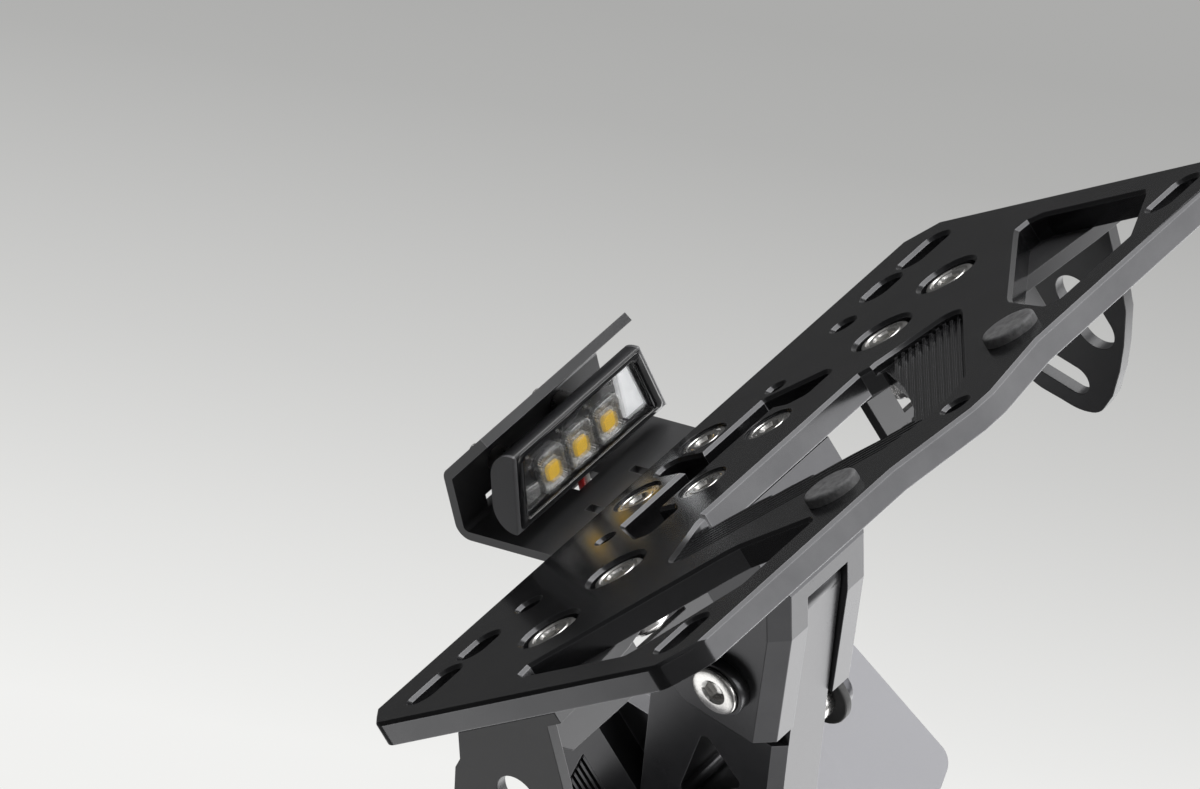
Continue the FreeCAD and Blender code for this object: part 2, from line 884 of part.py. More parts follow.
def add_beam_pocket(body, sign, name):
    """A ribbed recess in one side of the beam."""
    half, deep = dim("arm_half"), dim("beam_pocket_deep")
    low, high = dim("beam_pocket_bottom"), dim("beam_pocket_top")
    start, end = dim("beam_pocket_start"), dim("beam_pocket_end")
    recess = new_sketch(body, "beam_recess_" + name, "YZ", (0, 0, sign * half))
    polygon(recess, [(start, low), (end - 6.0, low), (end, high), (start + 6.4, high)])
    pocket(body, recess, deep, back=sign < 0)
    rib = new_sketch(body, "beam_rib_" + name, "YZ", (0, 0, sign * (half - deep)))
    thick = dim("beam_rib_thick")
    foot, head = low + 1.2, low + 1.2 + thick
    polygon(rib, [(start - 1, foot), (end + 1, foot), (end + 1, head), (start - 1, head)])
    raised = pad(body, rib, "beam_rib_high", back=sign < 0)
    repeat(body, raised, rib, "V_Axis", "beam_rib_pitch", 6)


def make_mounting_plate():
    """The top plate that bolts the arm to the machine's tail."""
    body = new_body("mounting_plate")
    top = dim("beam_top")
    sketch = new_sketch(body, "mount_outline", "XY", (0, 0, top))
    corners = polygon(
        sketch,
        mirrored(
            [
                (dim("mount_rear_half") - 6.0, "mount_rear"),
                ("mount_rear_half", dim("mount_rear") + 4.0),
                ("mount_corner_half", "mount_corner"),
                ("mount_front_half", "mount_front"),
            ]
        ),
    )
    pad(body, sketch, "mount_thick")
    round_corners(body, "mount_corners", corners[1:7], "mount_round", "xy")
    step = new_sketch(body, "mount_step", "XY", (0, 0, top))
    edge = dim("mount_step_half")
    for sign in (1, -1):
        polygon(step, [(sign * edge, 50), (sign * edge, 140), (sign * 90, 140), (sign * 90, 50)])
    pocket(body, step, "mount_step", back=True)
    holes = new_sketch(body, "tail_holes", "XY", (0, 0, MOUNT_TOP))
    for sign in (-1, 1):
        for way in (-1, 1):
            along = dim("tail_centre") + way * dim("tail_pitch_along") / 2
            circle(holes, (sign * dim("tail_pitch_across") / 2, along), dim("tail_bore") / 2)
    pocket(body, holes, dim("mount_thick") * 3, middle=True)
    seats = new_sketch(body, "arm_screw_holes", "XY", (0, 0, MOUNT_TOP))
    for index in range(3):
        circle(seats, (0, dim("arm_screw_first") + dim("arm_screw_pitch") * index), dim("pivot_radius") + 0.2)
    pocket(body, seats, dim("mount_thick") * 3, middle=True)
    rims = []
    for index, edge in enumerate(body.Shape.Edges, start=1):
        if edge.Curve.TypeId == "Part::GeomCircle" and near(edge.Curve.Radius, DRIVING["pivot_radius"] + 0.2):
            centre = local(body, edge.Curve.Center)
            if near(centre.z, MOUNT_TOP.number) and near(centre.x, 0):
                rims.append("Edge%d" % index)
    dress(body, "Chamfer", "arm_screw_seats", rims, dim("arm_screw_head") - "pivot_radius" - 0.2)


def make_lamp_bracket():
    """The folded sheet that carries the lamp: tail, sloping base, riser and lip."""
    body = new_body("lamp_bracket")
    thick = dim("sheet_thick")
    turns = [dim(QUARTER), dim(QUARTER) + "base_rise"]
    turns.append(turns[1] + "riser_turn")
    turns.append(turns[2] + "lip_turn")
    inner = [(THICK, -dim("sheet_tail")), (THICK, dim("sheet_bend_up"))]
    for turn, length in zip(turns[1:], ("base_long", "riser_long", "lip_long")):
        y, z = inner[-1]
        inner.append((y + dim(length) * cosine(turn), z + dim(length) * sine(turn)))

    def outward(turn):
        return (sine(turn), -cosine(turn))

    outer = []
    for index, (y, z) in enumerate(inner):
        first = outward(turns[max(index - 1, 0)])
        second = outward(turns[min(index, 3)])
        if index in (0, 4):
            shift = second if index == 0 else first
        else:
            share = 1 + cosine(turns[index] - turns[index - 1])
            shift = tuple((a + b) / share for a, b in zip(first, second))
        outer.append((y + thick * shift[0], z + thick * shift[1]))
    side = new_sketch(body, "bracket_side", "YZ")
    corners = polygon(side, inner + outer[::-1])
    pad(body, side, dim("sheet_half") * 2, middle=True)
    round_corners(body, "inner_bends", corners[1:4], "bend_inner", "yz")
    round_corners(body, "outer_bends", corners[6:9], dim("bend_inner") + thick, "yz")
    holes = new_sketch(body, "bracket_holes", "XZ", (0, 0, -THICK))
    for spot in BLOCK_PLACES:
        circle(holes, spot, dim("block_screw_bore") / 2)
    pocket(body, holes, thick * 4, middle=True)
    base = tilted_sketch(body, "base_holes", inner[1], turns[1])
    rectangle(base, (0, "cable_hole_along"), "cable_hole_long", "cable_hole_high")
    for sign in (-1, 1):
        place_x = sign * dim("small_slot_across")
        rectangle(base, (place_x, "small_slot_along"), "small_slot_wide", "small_slot_long")
    pocket(body, base, thick * 3, middle=True)
    riser_at = lamp_point(0, "stud_offset", dim("lamp_deep") + lamp_gap())
    riser = tilted_sketch(body, "riser_slots", riser_at, turns[2])
    for sign in (-1, 1):
        rectangle(riser, (sign * dim("stud_across"), 0), "stud_hole_wide", "stud_hole_wide")
        spot = (sign * dim("side_hole_across"), -dim("side_hole_below"))
        rectangle(riser, spot, "side_hole_long", "side_hole_wide")
    pocket(body, riser, thick * 3, middle=True)


LAMP_TURN = dim("base_rise") + "riser_turn" - QUARTER


def lamp_point(x, y, z):
    """The forward and upward place of a point given in the lamp's own frame."""
    y, z = dim(y), dim(z)
    return (
        dim("lamp_centre_forward") + y * cosine(LAMP_TURN) - z * sine(LAMP_TURN),
        dim("lamp_centre_up") + y * sine(LAMP_TURN) + z * cosine(LAMP_TURN),
    )


def lamp_gap():
    """The space between the lamp's back and the riser's inner face."""
    turn = dim(QUARTER) + "base_rise"
    y = THICK + dim("base_long") * cosine(turn) - "lamp_centre_forward"
    z = dim("sheet_bend_up") + dim("base_long") * sine(turn) - "lamp_centre_up"
    return z * cosine(LAMP_TURN) - y * sine(LAMP_TURN) - "lamp_deep"


def tilted_sketch(body, name, base, turn):
    """A sketch whose own upward axis leans in the body's side view."""
    sketch = new_sketch(body, name, "XY")
    sketch.setExpression("AttachmentOffset.Rotation.Angle", None)
    sketch.AttachmentOffset = FreeCAD.Placement(V(0, 0, 0), FreeCAD.Rotation(V(1, 0, 0), turn.number))
    bind(sketch, {"AttachmentOffset.Base.y": base[0], "AttachmentOffset.Base.z": base[1]})
    bind(sketch, {"AttachmentOffset.Rotation.Angle": turn})
    return sketch


def lamp_place(thing):
    """Put a piece that is drawn in the lamp's own frame where the lamp sits."""
    thing.Placement = FreeCAD.Placement(V(0, 0, 0), FreeCAD.Rotation(V(1, 0, 0), LAMP_TURN.number))
    values = {
        "Placement.Base.y": dim("lamp_centre_forward") - "tail_centre",
        "Placement.Base.z": dim("lamp_centre_up") - MOUNT_TOP,
        "Placement.Rotation.Angle": LAMP_TURN,
    }
    bind(thing, values)


def trapezoid(sketch, high, short, long):
    """The lamp's outline, narrower at its rear edge."""
    half, short, long = dim(high) / 2, dim(short), dim(long)
    return polygon(sketch, [(-short, -half), (short, -half), (long, half), (-long, half)])


def make_lamp():
    """Housing, clear front, board, chips and reflector, drawn in the lamp's own frame."""
    body = doc.addObject("PartDesign::Body", "lamp_housing")
    outline = new_sketch(body, "lamp_outline", "XY")
    trapezoid(outline, "lamp_high", "lamp_half_short", "lamp_half_long")
    pad(body, outline, "lamp_deep")
    deep = DRIVING["lamp_deep"]
    backs = straight_edges(body, lambda a, b: near(a.z, deep) and near(b.z, deep) and near(a.y, b.y))
    dress(body, "Fillet", "lamp_backs", backs, "lamp_round")
    fronts = straight_edges(body, lambda a, b: near(a.z, 0) and near(b.z, 0))
    dress(body, "Fillet", "lamp_rims", fronts, "lamp_rim")
    seat = new_sketch(body, "lens_seat", "XY", (0, 0, 0))
    trapezoid(seat, "lens_high", "lens_half_short", "lens_half_long")
    pocket(body, seat, dim("lens_sink") + "lens_thick", back=True)
    cavity = new_sketch(body, "lamp_cavity", "XY")
    wall = dim("bezel_wide")
    cavity_sizes = (dim("lens_high") - wall * 2, dim("lens_half_short") - wall, dim("lens_half_long") - wall)
    trapezoid(cavity, *cavity_sizes)
    pocket(body, cavity, "cavity_deep", back=True)
    bosses = new_sketch(body, "stud_bosses", "XY", (0, 0, "lamp_deep"))
    for sign in (-1, 1):
        circle(bosses, (sign * dim("stud_across"), "stud_offset"), "spacer_radius")
    pad(body, bosses, 2.0, back=True)
    studs = new_sketch(body, "stud_threads", "XY", (0, 0, "lamp_deep"))
    for sign in (-1, 1):
        circle(studs, (sign * dim("stud_across"), "stud_offset"), "stud_radius")
    pocket(body, studs, 1.2)
    wires = tilted_sketch(body, "wire_hole", (dim("lamp_high") / 2, "wire_start"), dim(QUARTER))
    for sign in (-1, 1):
        circle(wires, (sign * dim("wire_apart"), 0), "wire_radius")
    pocket(body, wires, 5.0, middle=True)
    lamp_place(body)

    lens = doc.addObject("PartDesign::Body", "lamp_lens")
    sketch = new_sketch(lens, "lens_outline", "XY", (0, 0, "lens_sink"))
    trapezoid(sketch, "lens_high", "lens_half_short", "lens_half_long")
    pad(lens, sketch, "lens_thick")
    lamp_place(lens)

    board = doc.addObject("PartDesign::Body", "lamp_board")
    board_at = dim("cavity_deep") - "board_thick"
    sketch = new_sketch(board, "board_outline", "XY", (0, 0, board_at))
    trapezoid(sketch, *cavity_sizes)
    pad(board, sketch, "board_thick")
    lamp_place(board)

    chip_at = board_at - "chip_high"
    side = dim("chip_side")
    pieces = []
    for index in (-1, 0, 1):
        name = "lamp_chip_%d" % (index + 2)
        base = (dim("chip_pitch") * index - side / 2, dim("chip_offset") - side / 2, chip_at)
        pieces.append(primitive("Box", name, {"Length": side, "Width": side, "Height": "chip_high"}, base))
    lamp_place(group("lamp_chips", pieces))

    reflector = doc.addObject("PartDesign::Body", "lamp_reflector")
    sketch = new_sketch(reflector, "reflector_outline", "XY", (0, 0, board_at - "reflector_thick"))
    trapezoid(sketch, *cavity_sizes)
    pad(reflector, sketch, "reflector_thick")
    cups = new_sketch(reflector, "reflector_cups", "XY", (0, 0, board_at - "reflector_thick"))
    for index in (-1, 0, 1):
        circle(cups, (dim("chip_pitch") * index, "chip_offset"), side * 0.8)
    pocket(reflector, cups, dim("reflector_thick") * 3, middle=True)
    rims = []
    front = DRIVING["cavity_deep"] - DRIVING["board_thick"] - DRIVING["reflector_thick"]
    for index, edge in enumerate(reflector.Shape.Edges, start=1):
        if edge.Curve.TypeId == "Part::GeomCircle" and near(edge.Curve.Center.z, front):
            rims.append("Edge%d" % index)
    dress(reflector, "Chamfer", "cup_slopes", rims, dim("reflector_thick") * 0.5)
    lamp_place(reflector)

    studs, spacers, nuts = [], [], []
    back = dim("lamp_deep")
    gap = lamp_gap()
    roof = back + gap + "sheet_thick"
    for sign, name in ((-1, "left"), (1, "right")):
        spot = (sign * dim("stud_across"), "stud_offset")
        long = roof + "stud_nut_high" + 1.2 - back + 1.2
        sizes = {"Radius": "stud_radius", "Height": long}
        studs.append(primitive("Cylinder", "stud_" + name, sizes, spot + (back - 1.2,)))
        tube_sizes = {"Radius": "spacer_radius", "Height": gap}
        tube = primitive("Cylinder", "tube_" + name, tube_sizes, spot + (back,))
        bore = primitive("Cylinder", "tube_bore_" + name, sizes, spot + (back - 1.2,))
        spacers.append(cut("spacer_" + name, tube, bore))
        hexagon = {"Circumradius": "stud_nut_radius", "Height": "stud_nut_high"}
        nut = primitive("Prism", "stud_hex_" + name, hexagon, spot + (roof,))
        thread = primitive("Cylinder", "stud_nut_bore_" + name, sizes, spot + (back - 1.2,))
        nuts.append(cut("stud_nut_" + name, nut, thread))
    lamp_place(group("lamp_studs", studs))
    lamp_place(group("lamp_spacers", spacers))
    lamp_place(group("lamp_nuts", nuts))


def make_wires():
    """The lamp's two wires, from its side through the bracket into the block's passage."""
    for sign, name in ((-1, "lamp_wire_red"), (1, "lamp_wire_white")):
        x = sign * dim("wire_apart")
        start = lamp_point(0, dim("lamp_high") / 2 - 1.6, "wire_start")
        bend = lamp_point(0, dim("lamp_high") / 2 + 8.5, "wire_start")
        radius = (dim("wire_hole_forward") - bend[0]) / (1 + sine(LAMP_TURN))
        centre = (bend[0] + radius * sine(LAMP_TURN), bend[1] - radius * cosine(LAMP_TURN))
        knee = (centre[0] + radius, centre[1])
        end = (knee[0], dim("block_upper") - 5.0)
        path = doc.addObject("Sketcher::SketchObject", name + "_path")
        path.Placement = FreeCAD.Placement(V(0, 0, 0), FreeCAD.Rotation(V(1, 1, 1), 120))
        bind(path, {"Placement.Base.x": x})
        for first, last in ((start, bend), (knee, end)):
            ends = [V(point[0].number, point[1].number, 0) for point in (first, last)]
            path.addGeometry(Part.LineSegment(*ends), False)
        for index, (first, last) in enumerate(((start, bend), (knee, end))):
            pin(path, index, 1, first)
            pin(path, index, 2, last)
        round_line = Part.Circle(V(centre[0].number, centre[1].number, 0), V(0, 0, 1), radius.number)
        turn = math.radians(QUARTER + LAMP_TURN.number)
        path.addGeometry(Part.ArcOfCircle(round_line, 0, turn), False)
        path.addConstraint(Sketcher.Constraint("Coincident", 2, 2, 0, 2))
        path.addConstraint(Sketcher.Constraint("Coincident", 2, 1, 1, 1))
        index = path.addConstraint(Sketcher.Constraint("Radius", 2, radius.number))
        path.setExpression("Constraints[%d]" % index, radius.text)
        lean = math.radians(LAMP_TURN.number)
        ring = doc.addObject("Part::Circle", name + "_ring")
        turn = FreeCAD.Rotation(V(0, 0, 1), V(0, math.cos(lean), math.sin(lean)))
        ring.Placement = FreeCAD.Placement(V(0, 0, 0), turn)
        bind(ring, {"Radius": "wire_radius", "Placement.Base.x": x})
        bind(ring, {"Placement.Base.y": start[0], "Placement.Base.z": start[1]})
        doc.recompute()
        sweep = doc.addObject("Part::Sweep", name + "_sweep")
        sweep.Sections = [ring]
        sweep.Spine = (path, ["Edge1", "Edge3", "Edge2"])
        sweep.Solid = True
        doc.recompute()
        group(name, [sweep])


def make_indicator_brackets():
    """Folded brackets: a flange under the carrier, a web and a slotted side leaf."""
    for sign, name in ((-1, "indicator_bracket_left"), (1, "indicator_bracket_right")):
        body = new_body(name)
        thick, outer = dim("bracket_thick"), dim("carrier_half")
        near_x, upper, reach = dim("bracket_near"), -dim("bracket_upper"), -dim("bracket_reach")
        flange = new_sketch(body, name + "_flange", "XZ", (0, 0, -THICK))
        shape = [
            (near_x, upper),
            (near_x, upper - 10.9),
            (near_x + 33.4, reach + 6.5),
            (outer - 8.5, reach + 1.5),
            (outer, reach),
            (outer, upper - 3.0),
            (outer - 16.5, upper),
        ]
        polygon(flange, [(sign * dim(a), b) for a, b in shape])
        pad(body, flange, thick, back=True)
        leaf_at = outer - thick if sign > 0 else -outer
        leaf = new_sketch(body, name + "_leaf", "YZ", (0, 0, leaf_at))
        top, front = dim("leaf_top"), dim("leaf_forward")
        polygon(
            leaf,
            [
                (THICK, upper - 3.0),
                (front - 34.9, upper + 1.0),
                (front - 33.5, top - 15.4),
                (front - 28.7, top - 11.0),
                (front - 15.3, top),
                (front - 8.9, top - 2.4),
                (front - 5.0, top - 6.7),
                (front - 1.7, top - 10.1),
                (front, top - 14.9),
                (front - 3.1, top - 21.3),
                (front - 7.8, top - 27.2),
                (front - 12.7, top - 32.3),
                (front - 19.6, top - 38.4),
                (front - 24.3, top - 41.0),
                (THICK + 1.0, reach + 3.5),
                (THICK, reach + 1.0),
            ],
        )
        pad(body, leaf, thick)
        web = new_sketch(body, name + "_web", "XY", (0, 0, -dim("web_drop") - thick))
        base, deep = THICK + thick - 0.5, THICK + thick + "web_deep"
        notch, half = THICK + thick + "notch_deep", dim("notch_wide") / 2
        first, second = dim("indicator_near"), dim("indicator_far")
        shape = [
            (near_x + 0.5, base),
            (first - half, base),
            (first - half, notch),
            (first + half, notch),
            (first + half, base),
            (second - half, base),
            (second - half, notch),
            (second + half, notch),
            (second + half, base),
            ("web_end", base),
            ("web_end", deep - 3.0),
            (dim("web_end") - 3.0, deep),
            (near_x + 3.5, deep),
            (near_x + 0.5, deep - 3.0),
        ]
        polygon(web, [(sign * dim(a), b) for a, b in shape])
        pad(body, web, thick)
        bores = new_sketch(body, name + "_bores", "XZ", (0, 0, -THICK))
        for across_name in ("indicator_near", "indicator_far"):
            circle(bores, (sign * dim(across_name), -dim("indicator_drop")), dim("indicator_bore") / 2)
        pocket(body, bores, thick + 0.4)
        slots = new_sketch(body, name + "_slots", "YZ", (0, 0, leaf_at))
        drop, wide = -dim("leaf_slot_drop"), dim("leaf_slot_width")
        first_at, last_at = dim("leaf_slot_first"), dim("leaf_slot_last")
        corners = rectangle(slots, ((first_at + last_at) / 2, drop), last_at - first_at + wide, wide)
        pocket(body, slots, thick * 3, middle=True)
        round_corners(body, name + "_slot_ends", corners, wide / 2 - 0.05, "yz")
        second_slot = new_sketch(body, name + "_second", "YZ", (front - 11.3, top - 10.8, leaf_at), -45.0)
        narrow = dim("leaf_second_width")
        rectangle(second_slot, (0, 0), narrow + 8.9, narrow)
        pocket(body, second_slot, thick * 3, middle=True)
        centre_y, centre_z = (front - 11.3).number, (top - 10.8).number

        def second_end(a, b):
            a, b = local(body, a), local(body, b)
            if not near(abs(a.x - b.x), DRIVING["bracket_thick"]):
                return False
            return abs(math.hypot(a.y - centre_y, a.z - centre_z) - math.hypot(3.25, 7.7)) < 0.05

        dress(body, "Fillet", name + "_second_ends", straight_edges(body, second_end), narrow / 2 - 0.05)


def hex_hole(name, spot, radius, depth, turn, start):
    """A hexagon tool for a socket."""
    sizes = {"Circumradius": radius, "Height": depth}
    return primitive("Prism", name, sizes, (spot[0], start, spot[1]), turn)


def make_block_screws():
    """Four countersunk screws through carrier and sheet into the block."""
    screws = []
    for index, spot in enumerate(BLOCK_PLACES, start=1):
        start = dim("block_recess_deep")
        name = "block_screw_%d" % index
        head = dim("block_head_radius") - "screw_radius"
        cone = primitive(
            "Cone",
            name + "_head",
            {"Radius1": "block_head_radius", "Radius2": "screw_radius", "Height": head},
            (spot[0], start, spot[1]),
            FORWARD,
        )
        shank = primitive(
            "Cylinder",
            name + "_shank",
            {"Radius": "screw_radius", "Height": dim("block_screw_long") - 1.0},
            (spot[0], start + 1.0, spot[1]),
            FORWARD,
        )
        socket = hex_hole(name + "_socket", spot, "hex_radius", "hex_deep", FORWARD, start)
        screws.append(cut(name, fuse(name + "_body", [cone, shank]), socket))
    group("block_screws", screws)


def make_indicator_screws():
    """Four button screws sunk in the carrier's face, with lock nuts behind the brackets."""
    screws, nuts = [], []
    seat = dim("indicator_recess_deep")
    for index, spot in enumerate(INDICATOR_PLACES, start=1):
        name = "indicator_screw_%d" % index
        start = seat - "indicator_head_high"
        head = primitive(
            "Cylinder",
            name + "_head",
            {"Radius": "indicator_head_radius", "Height": "indicator_head_high"},
            (spot[0], start, spot[1]),
            FORWARD,
        )
        long = dim("indicator_end") - start
        sizes = {"Radius": "indicator_shank", "Height": long}
        shank = primitive("Cylinder", name + "_shank", sizes, (spot[0], start, spot[1]), FORWARD)
        socket = hex_hole(name + "_socket", spot, "bolt_hex_radius", "hex_deep", FORWARD, start)
        screws.append(cut(name, fuse(name + "_body", [head, shank]), socket))
        nut = "indicator_nut_%d" % index
        behind = THICK + "bracket_thick"
        hexagon = hex_hole(nut + "_hex", spot, "nut_radius", "nut_high", FORWARD, behind)
        sizes = {"Radius": "indicator_shank", "Height": 30}
        bore = primitive("Cylinder", nut + "_bore", sizes, (spot[0], 0, spot[1]), FORWARD)
        nuts.append(cut(nut, hexagon, bore))
    group("indicator_screws", screws)
    group("indicator_nuts", nuts)


def on_pivot(kind, name, at, radius, height):
    """A round or hexagonal piece on the hinge's axis."""
    label = "Circumradius" if kind == "Prism" else "Radius"
    return primitive(kind, name, {label: radius, "Height": height}, (at,) + PIVOT, RIGHTWARD)


def make_pivot():
    """The hinge bolt with its cup, washer and lock nut."""
    ear = dim("ear_half")
    start = ear + "collar_thick"
    seat = start - "collar_seat"
    head_at = seat + "bolt_head_high"
    head = on_pivot("Cylinder", "bolt_head", -head_at, "bolt_head_radius", "bolt_head_high")
    shank = on_pivot("Cylinder", "bolt_shank", -seat, "pivot_radius", seat + "bolt_end")
    socket = on_pivot("Prism", "bolt_socket", -head_at, "bolt_hex_radius", "bolt_hex_deep")
    group("pivot_bolt", [cut("bolt_whole", fuse("bolt_body", [head, shank]), socket)])
    ring = on_pivot("Cylinder", "cup_ring", -start, "collar_radius", "collar_thick")
    well = on_pivot("Cylinder", "cup_well", -start, dim("bolt_head_radius") + 0.1, "collar_seat")
    bore = on_pivot("Cylinder", "cup_bore", -start, "pivot_radius", "collar_thick")
    group("pivot_cup", [cut("cup_whole", cut("cup_outer", ring, well), bore)])
    disc = on_pivot("Cylinder", "washer_disc", ear, "collar_radius", "washer_thick")
    eye = on_pivot("Cylinder", "washer_eye", ear, "pivot_radius", "washer_thick")
    group("pivot_washer", [cut("washer_whole", disc, eye)])
    at = ear + "washer_thick"
    hexagon = on_pivot("Prism", "nut_hex", at, "nut_radius", "nut_high")
    eye = on_pivot("Cylinder", "nut_eye", at, "pivot_radius", "nut_high")
    group("pivot_nut", [cut("nut_whole", hexagon, eye)])


def make_arm_screws():
    """Three countersunk screws that hold the mounting plate on the beam."""
    screws = []
    for index in range(3):
        along = dim("arm_screw_first") + dim("arm_screw_pitch") * index
        name = "arm_screw_%d" % (index + 1)
        high = dim("arm_screw_head") - "pivot_radius"
        sizes = {"Radius1": "arm_screw_head", "Radius2": "pivot_radius", "Height": high}
        cone = primitive("Cone", name + "_head", sizes, (0, along, MOUNT_TOP), DOWNWARD)
        sizes = {"Radius": "pivot_radius", "Height": "arm_screw_long"}
        shank = primitive("Cylinder", name + "_shank", sizes, (0, along, MOUNT_TOP), DOWNWARD)
        sizes = {"Circumradius": "bolt_hex_radius", "Height": "hex_deep"}
        socket = primitive("Prism", name + "_socket", sizes, (0, along, MOUNT_TOP), DOWNWARD)
        screws.append(cut(name, fuse(name + "_body", [cone, shank]), socket))
    group("arm_screws", screws)


def make_guide():
    """The small steel neck, black disc and screw on the arm's right side."""
    spot = bar("guide_along", "guide_across")
    start = dim("arm_half")
    neck_end = start + "guide_neck_long"
    disc_end = neck_end + "guide_washer_thick"
    for name, radius, at, long in (
        ("guide_spacer", "guide_neck_radius", start, "guide_neck_long"),
        ("guide_washer", "guide_washer_radius", neck_end, "guide_washer_thick"),
    ):
        sizes = {"Radius": radius, "Height": long}
        outer = primitive("Cylinder", name + "_outer", sizes, (at,) + spot, RIGHTWARD)
        sizes = {"Radius": "screw_radius", "Height": long}
        inner = primitive("Cylinder", name + "_inner", sizes, (at,) + spot, RIGHTWARD)
        group(name, [cut(name + "_whole", outer, inner)])
    sizes = {"Radius": "guide_head_radius", "Height": "guide_head_high"}
    head = primitive("Cylinder", "guide_head", sizes, (disc_end,) + spot, RIGHTWARD)
    sizes = {"Radius": "screw_radius", "Height": disc_end - start + 6.0}
    shank = primitive("Cylinder", "guide_shank", sizes, (start - 6.0,) + spot, RIGHTWARD)
    sizes = {"Circumradius": "hex_radius", "Height": "hex_deep"}
    top = disc_end + "guide_head_high" - "hex_deep"
    socket = primitive("Prism", "guide_socket", sizes, (top,) + spot, RIGHTWARD)
    group("guide_screw", [cut("guide_screw_whole", fuse("guide_screw_body", [head, shank]), socket)])


NODES = [
    "plate_carrier",
    "plate_pad_left",
    "plate_pad_right",
    "hinge_block",
    "block_screws",
    "arm",
    "pivot_bolt",
    "pivot_cup",
    "pivot_washer",
    "pivot_nut",
    "lamp_bracket",
    "lamp_housing",
    "lamp_lens",
    "lamp_board",
    "lamp_chips",
    "lamp_reflector",
    "lamp_studs",
    "lamp_spacers",
    "lamp_nuts",
    "lamp_wire_red",
    "lamp_wire_white",
    "indicator_bracket_left",
    "indicator_bracket_right",
    "indicator_screws",
    "indicator_nuts",
    "mounting_plate",
    "arm_screws",
    "guide_spacer",
    "guide_washer",
    "guide_screw",
]

for make in (
    make_carrier,
    make_pads,
    make_block,
    make_arm,
    make_mounting_plate,
    make_lamp_bracket,
    make_lamp,
    make_wires,
    make_indicator_brackets,
    make_block_screws,
    make_indicator_screws,
    make_pivot,
    make_arm_screws,
    make_guide,
):
    make()
doc.recompute()

for thing in doc.Objects:
    if "Invalid" in thing.State or "Error" in thing.State:
        raise RuntimeError("%s has state %s" % (thing.Name, thing.State))

os.makedirs("parts", exist_ok=True)
for name in NODES:
    shape = doc.getObject(name).Shape
    if shape.isNull() or not shape.isValid() or not shape.Solids:
        raise RuntimeError("%s has no valid solid" % name)
    shape.exportStep("parts/%s.step" % name)
    print(name, len(shape.Solids), round(shape.Volume, 1))
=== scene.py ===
"""Looks for the tail tidy: finishes, fasteners, lamp, wires and the studio around it."""

import math

import bmesh
import bpy
from bpy.props import FloatProperty, FloatVectorProperty, PointerProperty
from mathutils import Euler, Matrix, Vector


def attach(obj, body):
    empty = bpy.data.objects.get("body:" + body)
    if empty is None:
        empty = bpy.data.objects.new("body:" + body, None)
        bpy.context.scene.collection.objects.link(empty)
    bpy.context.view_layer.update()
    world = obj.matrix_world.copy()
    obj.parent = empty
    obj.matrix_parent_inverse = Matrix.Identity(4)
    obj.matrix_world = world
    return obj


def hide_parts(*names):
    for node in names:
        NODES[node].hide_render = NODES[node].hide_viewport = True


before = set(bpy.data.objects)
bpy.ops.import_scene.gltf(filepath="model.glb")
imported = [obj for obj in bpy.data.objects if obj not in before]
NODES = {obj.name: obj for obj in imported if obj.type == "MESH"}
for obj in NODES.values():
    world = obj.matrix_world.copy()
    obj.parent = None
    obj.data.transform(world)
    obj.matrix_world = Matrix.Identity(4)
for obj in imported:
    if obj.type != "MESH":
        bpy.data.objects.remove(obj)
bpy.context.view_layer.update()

bl_info = {
    "name": "Tail tidy finishes",
    "version": (1, 0, 0),
    "blender": (4, 5, 0),
    "location": "3D View > Sidebar > Tail tidy",
    "description": "Gives the tail tidy its finishes, fasteners, lamp and studio",
    "category": "Object",
}

MM = 0.001
CARRIER_SIDE = "carrier_side"
ARM_SIDE = "arm_side"

# The tail mount's middle, in the millimetres used below: forwards from the carrier's face and up.
MOUNT_FORWARD = 92.0
MOUNT_UP = 93.0

# Turns that point a form made along +Z in one direction
REARWARD = Euler((math.radians(90), 0, 0))
FORWARD = Euler((math.radians(-90), 0, 0))
RIGHTWARD = Euler((0, math.radians(90), 0))
LEFTWARD = Euler((0, math.radians(-90), 0))
UPWARD = Euler((0, 0, 0))

# Fastener places in millimetres: (across, up) on the carrier, forwards along the arm, and the pivot's own
# place as (forwards, up)
BLOCK_SPOTS = [(x, z) for x in (-10.0, 10.0) for z in (12.0, -8.0)]
INDICATOR_SPOTS = [(x, -12.5) for x in (-60.5, -40.5, 40.5, 60.5)]
PAD_SPOTS = (("plate_pad_left", -27.0, -65.0), ("plate_pad_right", 27.0, -65.0))
ARM_SCREW_SPOTS = [72.0, 90.0, 108.0]
PIVOT = (39.1, 13.0)

# Where the fasteners' zero rings lie: forwards of the carrier's face, and across for the hinge
BLOCK_SEAT = 0.5
INDICATOR_SEAT = 3.3
INDICATOR_NUT_SEAT = 7.5
BOLT_SEAT = -15.8
HINGE_NUT_SEAT = 16.0

# Turned profiles as (radius, height) rings in millimetres, with HEX behind those that are hexagonal
HEX = True
PAD_RINGS = [(0, 0), (5.5, 0), (5.5, 1.35), (5.42, 1.62), (5.2, 1.84), (4.85, 1.95), (4.2, 1.93), (0, 1.97)]
BLOCK_SCREW_RINGS = [
    (0, -16), (2.1, -16), (2.5, -15.6), (2.5, -2.1), (4.55, -0.05), (4.5, 0.0), (3.95, 0.0), (3.75, -0.14),
    (3.1, -0.14), (2.95, -0.02), (2.2, -0.02), (1.62, -0.5, HEX), (1.5, -0.62, HEX), (1.5, -1.75, HEX),
    (0.6, -2.0), (0, -2.05)]
LOCK_NUT_RINGS = [
    (3.0, 0.0), (4.9, 0.0), (4.99, 0.35, HEX), (4.99, 3.5, HEX), (4.6, 3.75), (4.45, 3.8), (4.45, 4.7),
    (4.2, 5.0), (3.3, 5.0), (3.0, 4.8)]
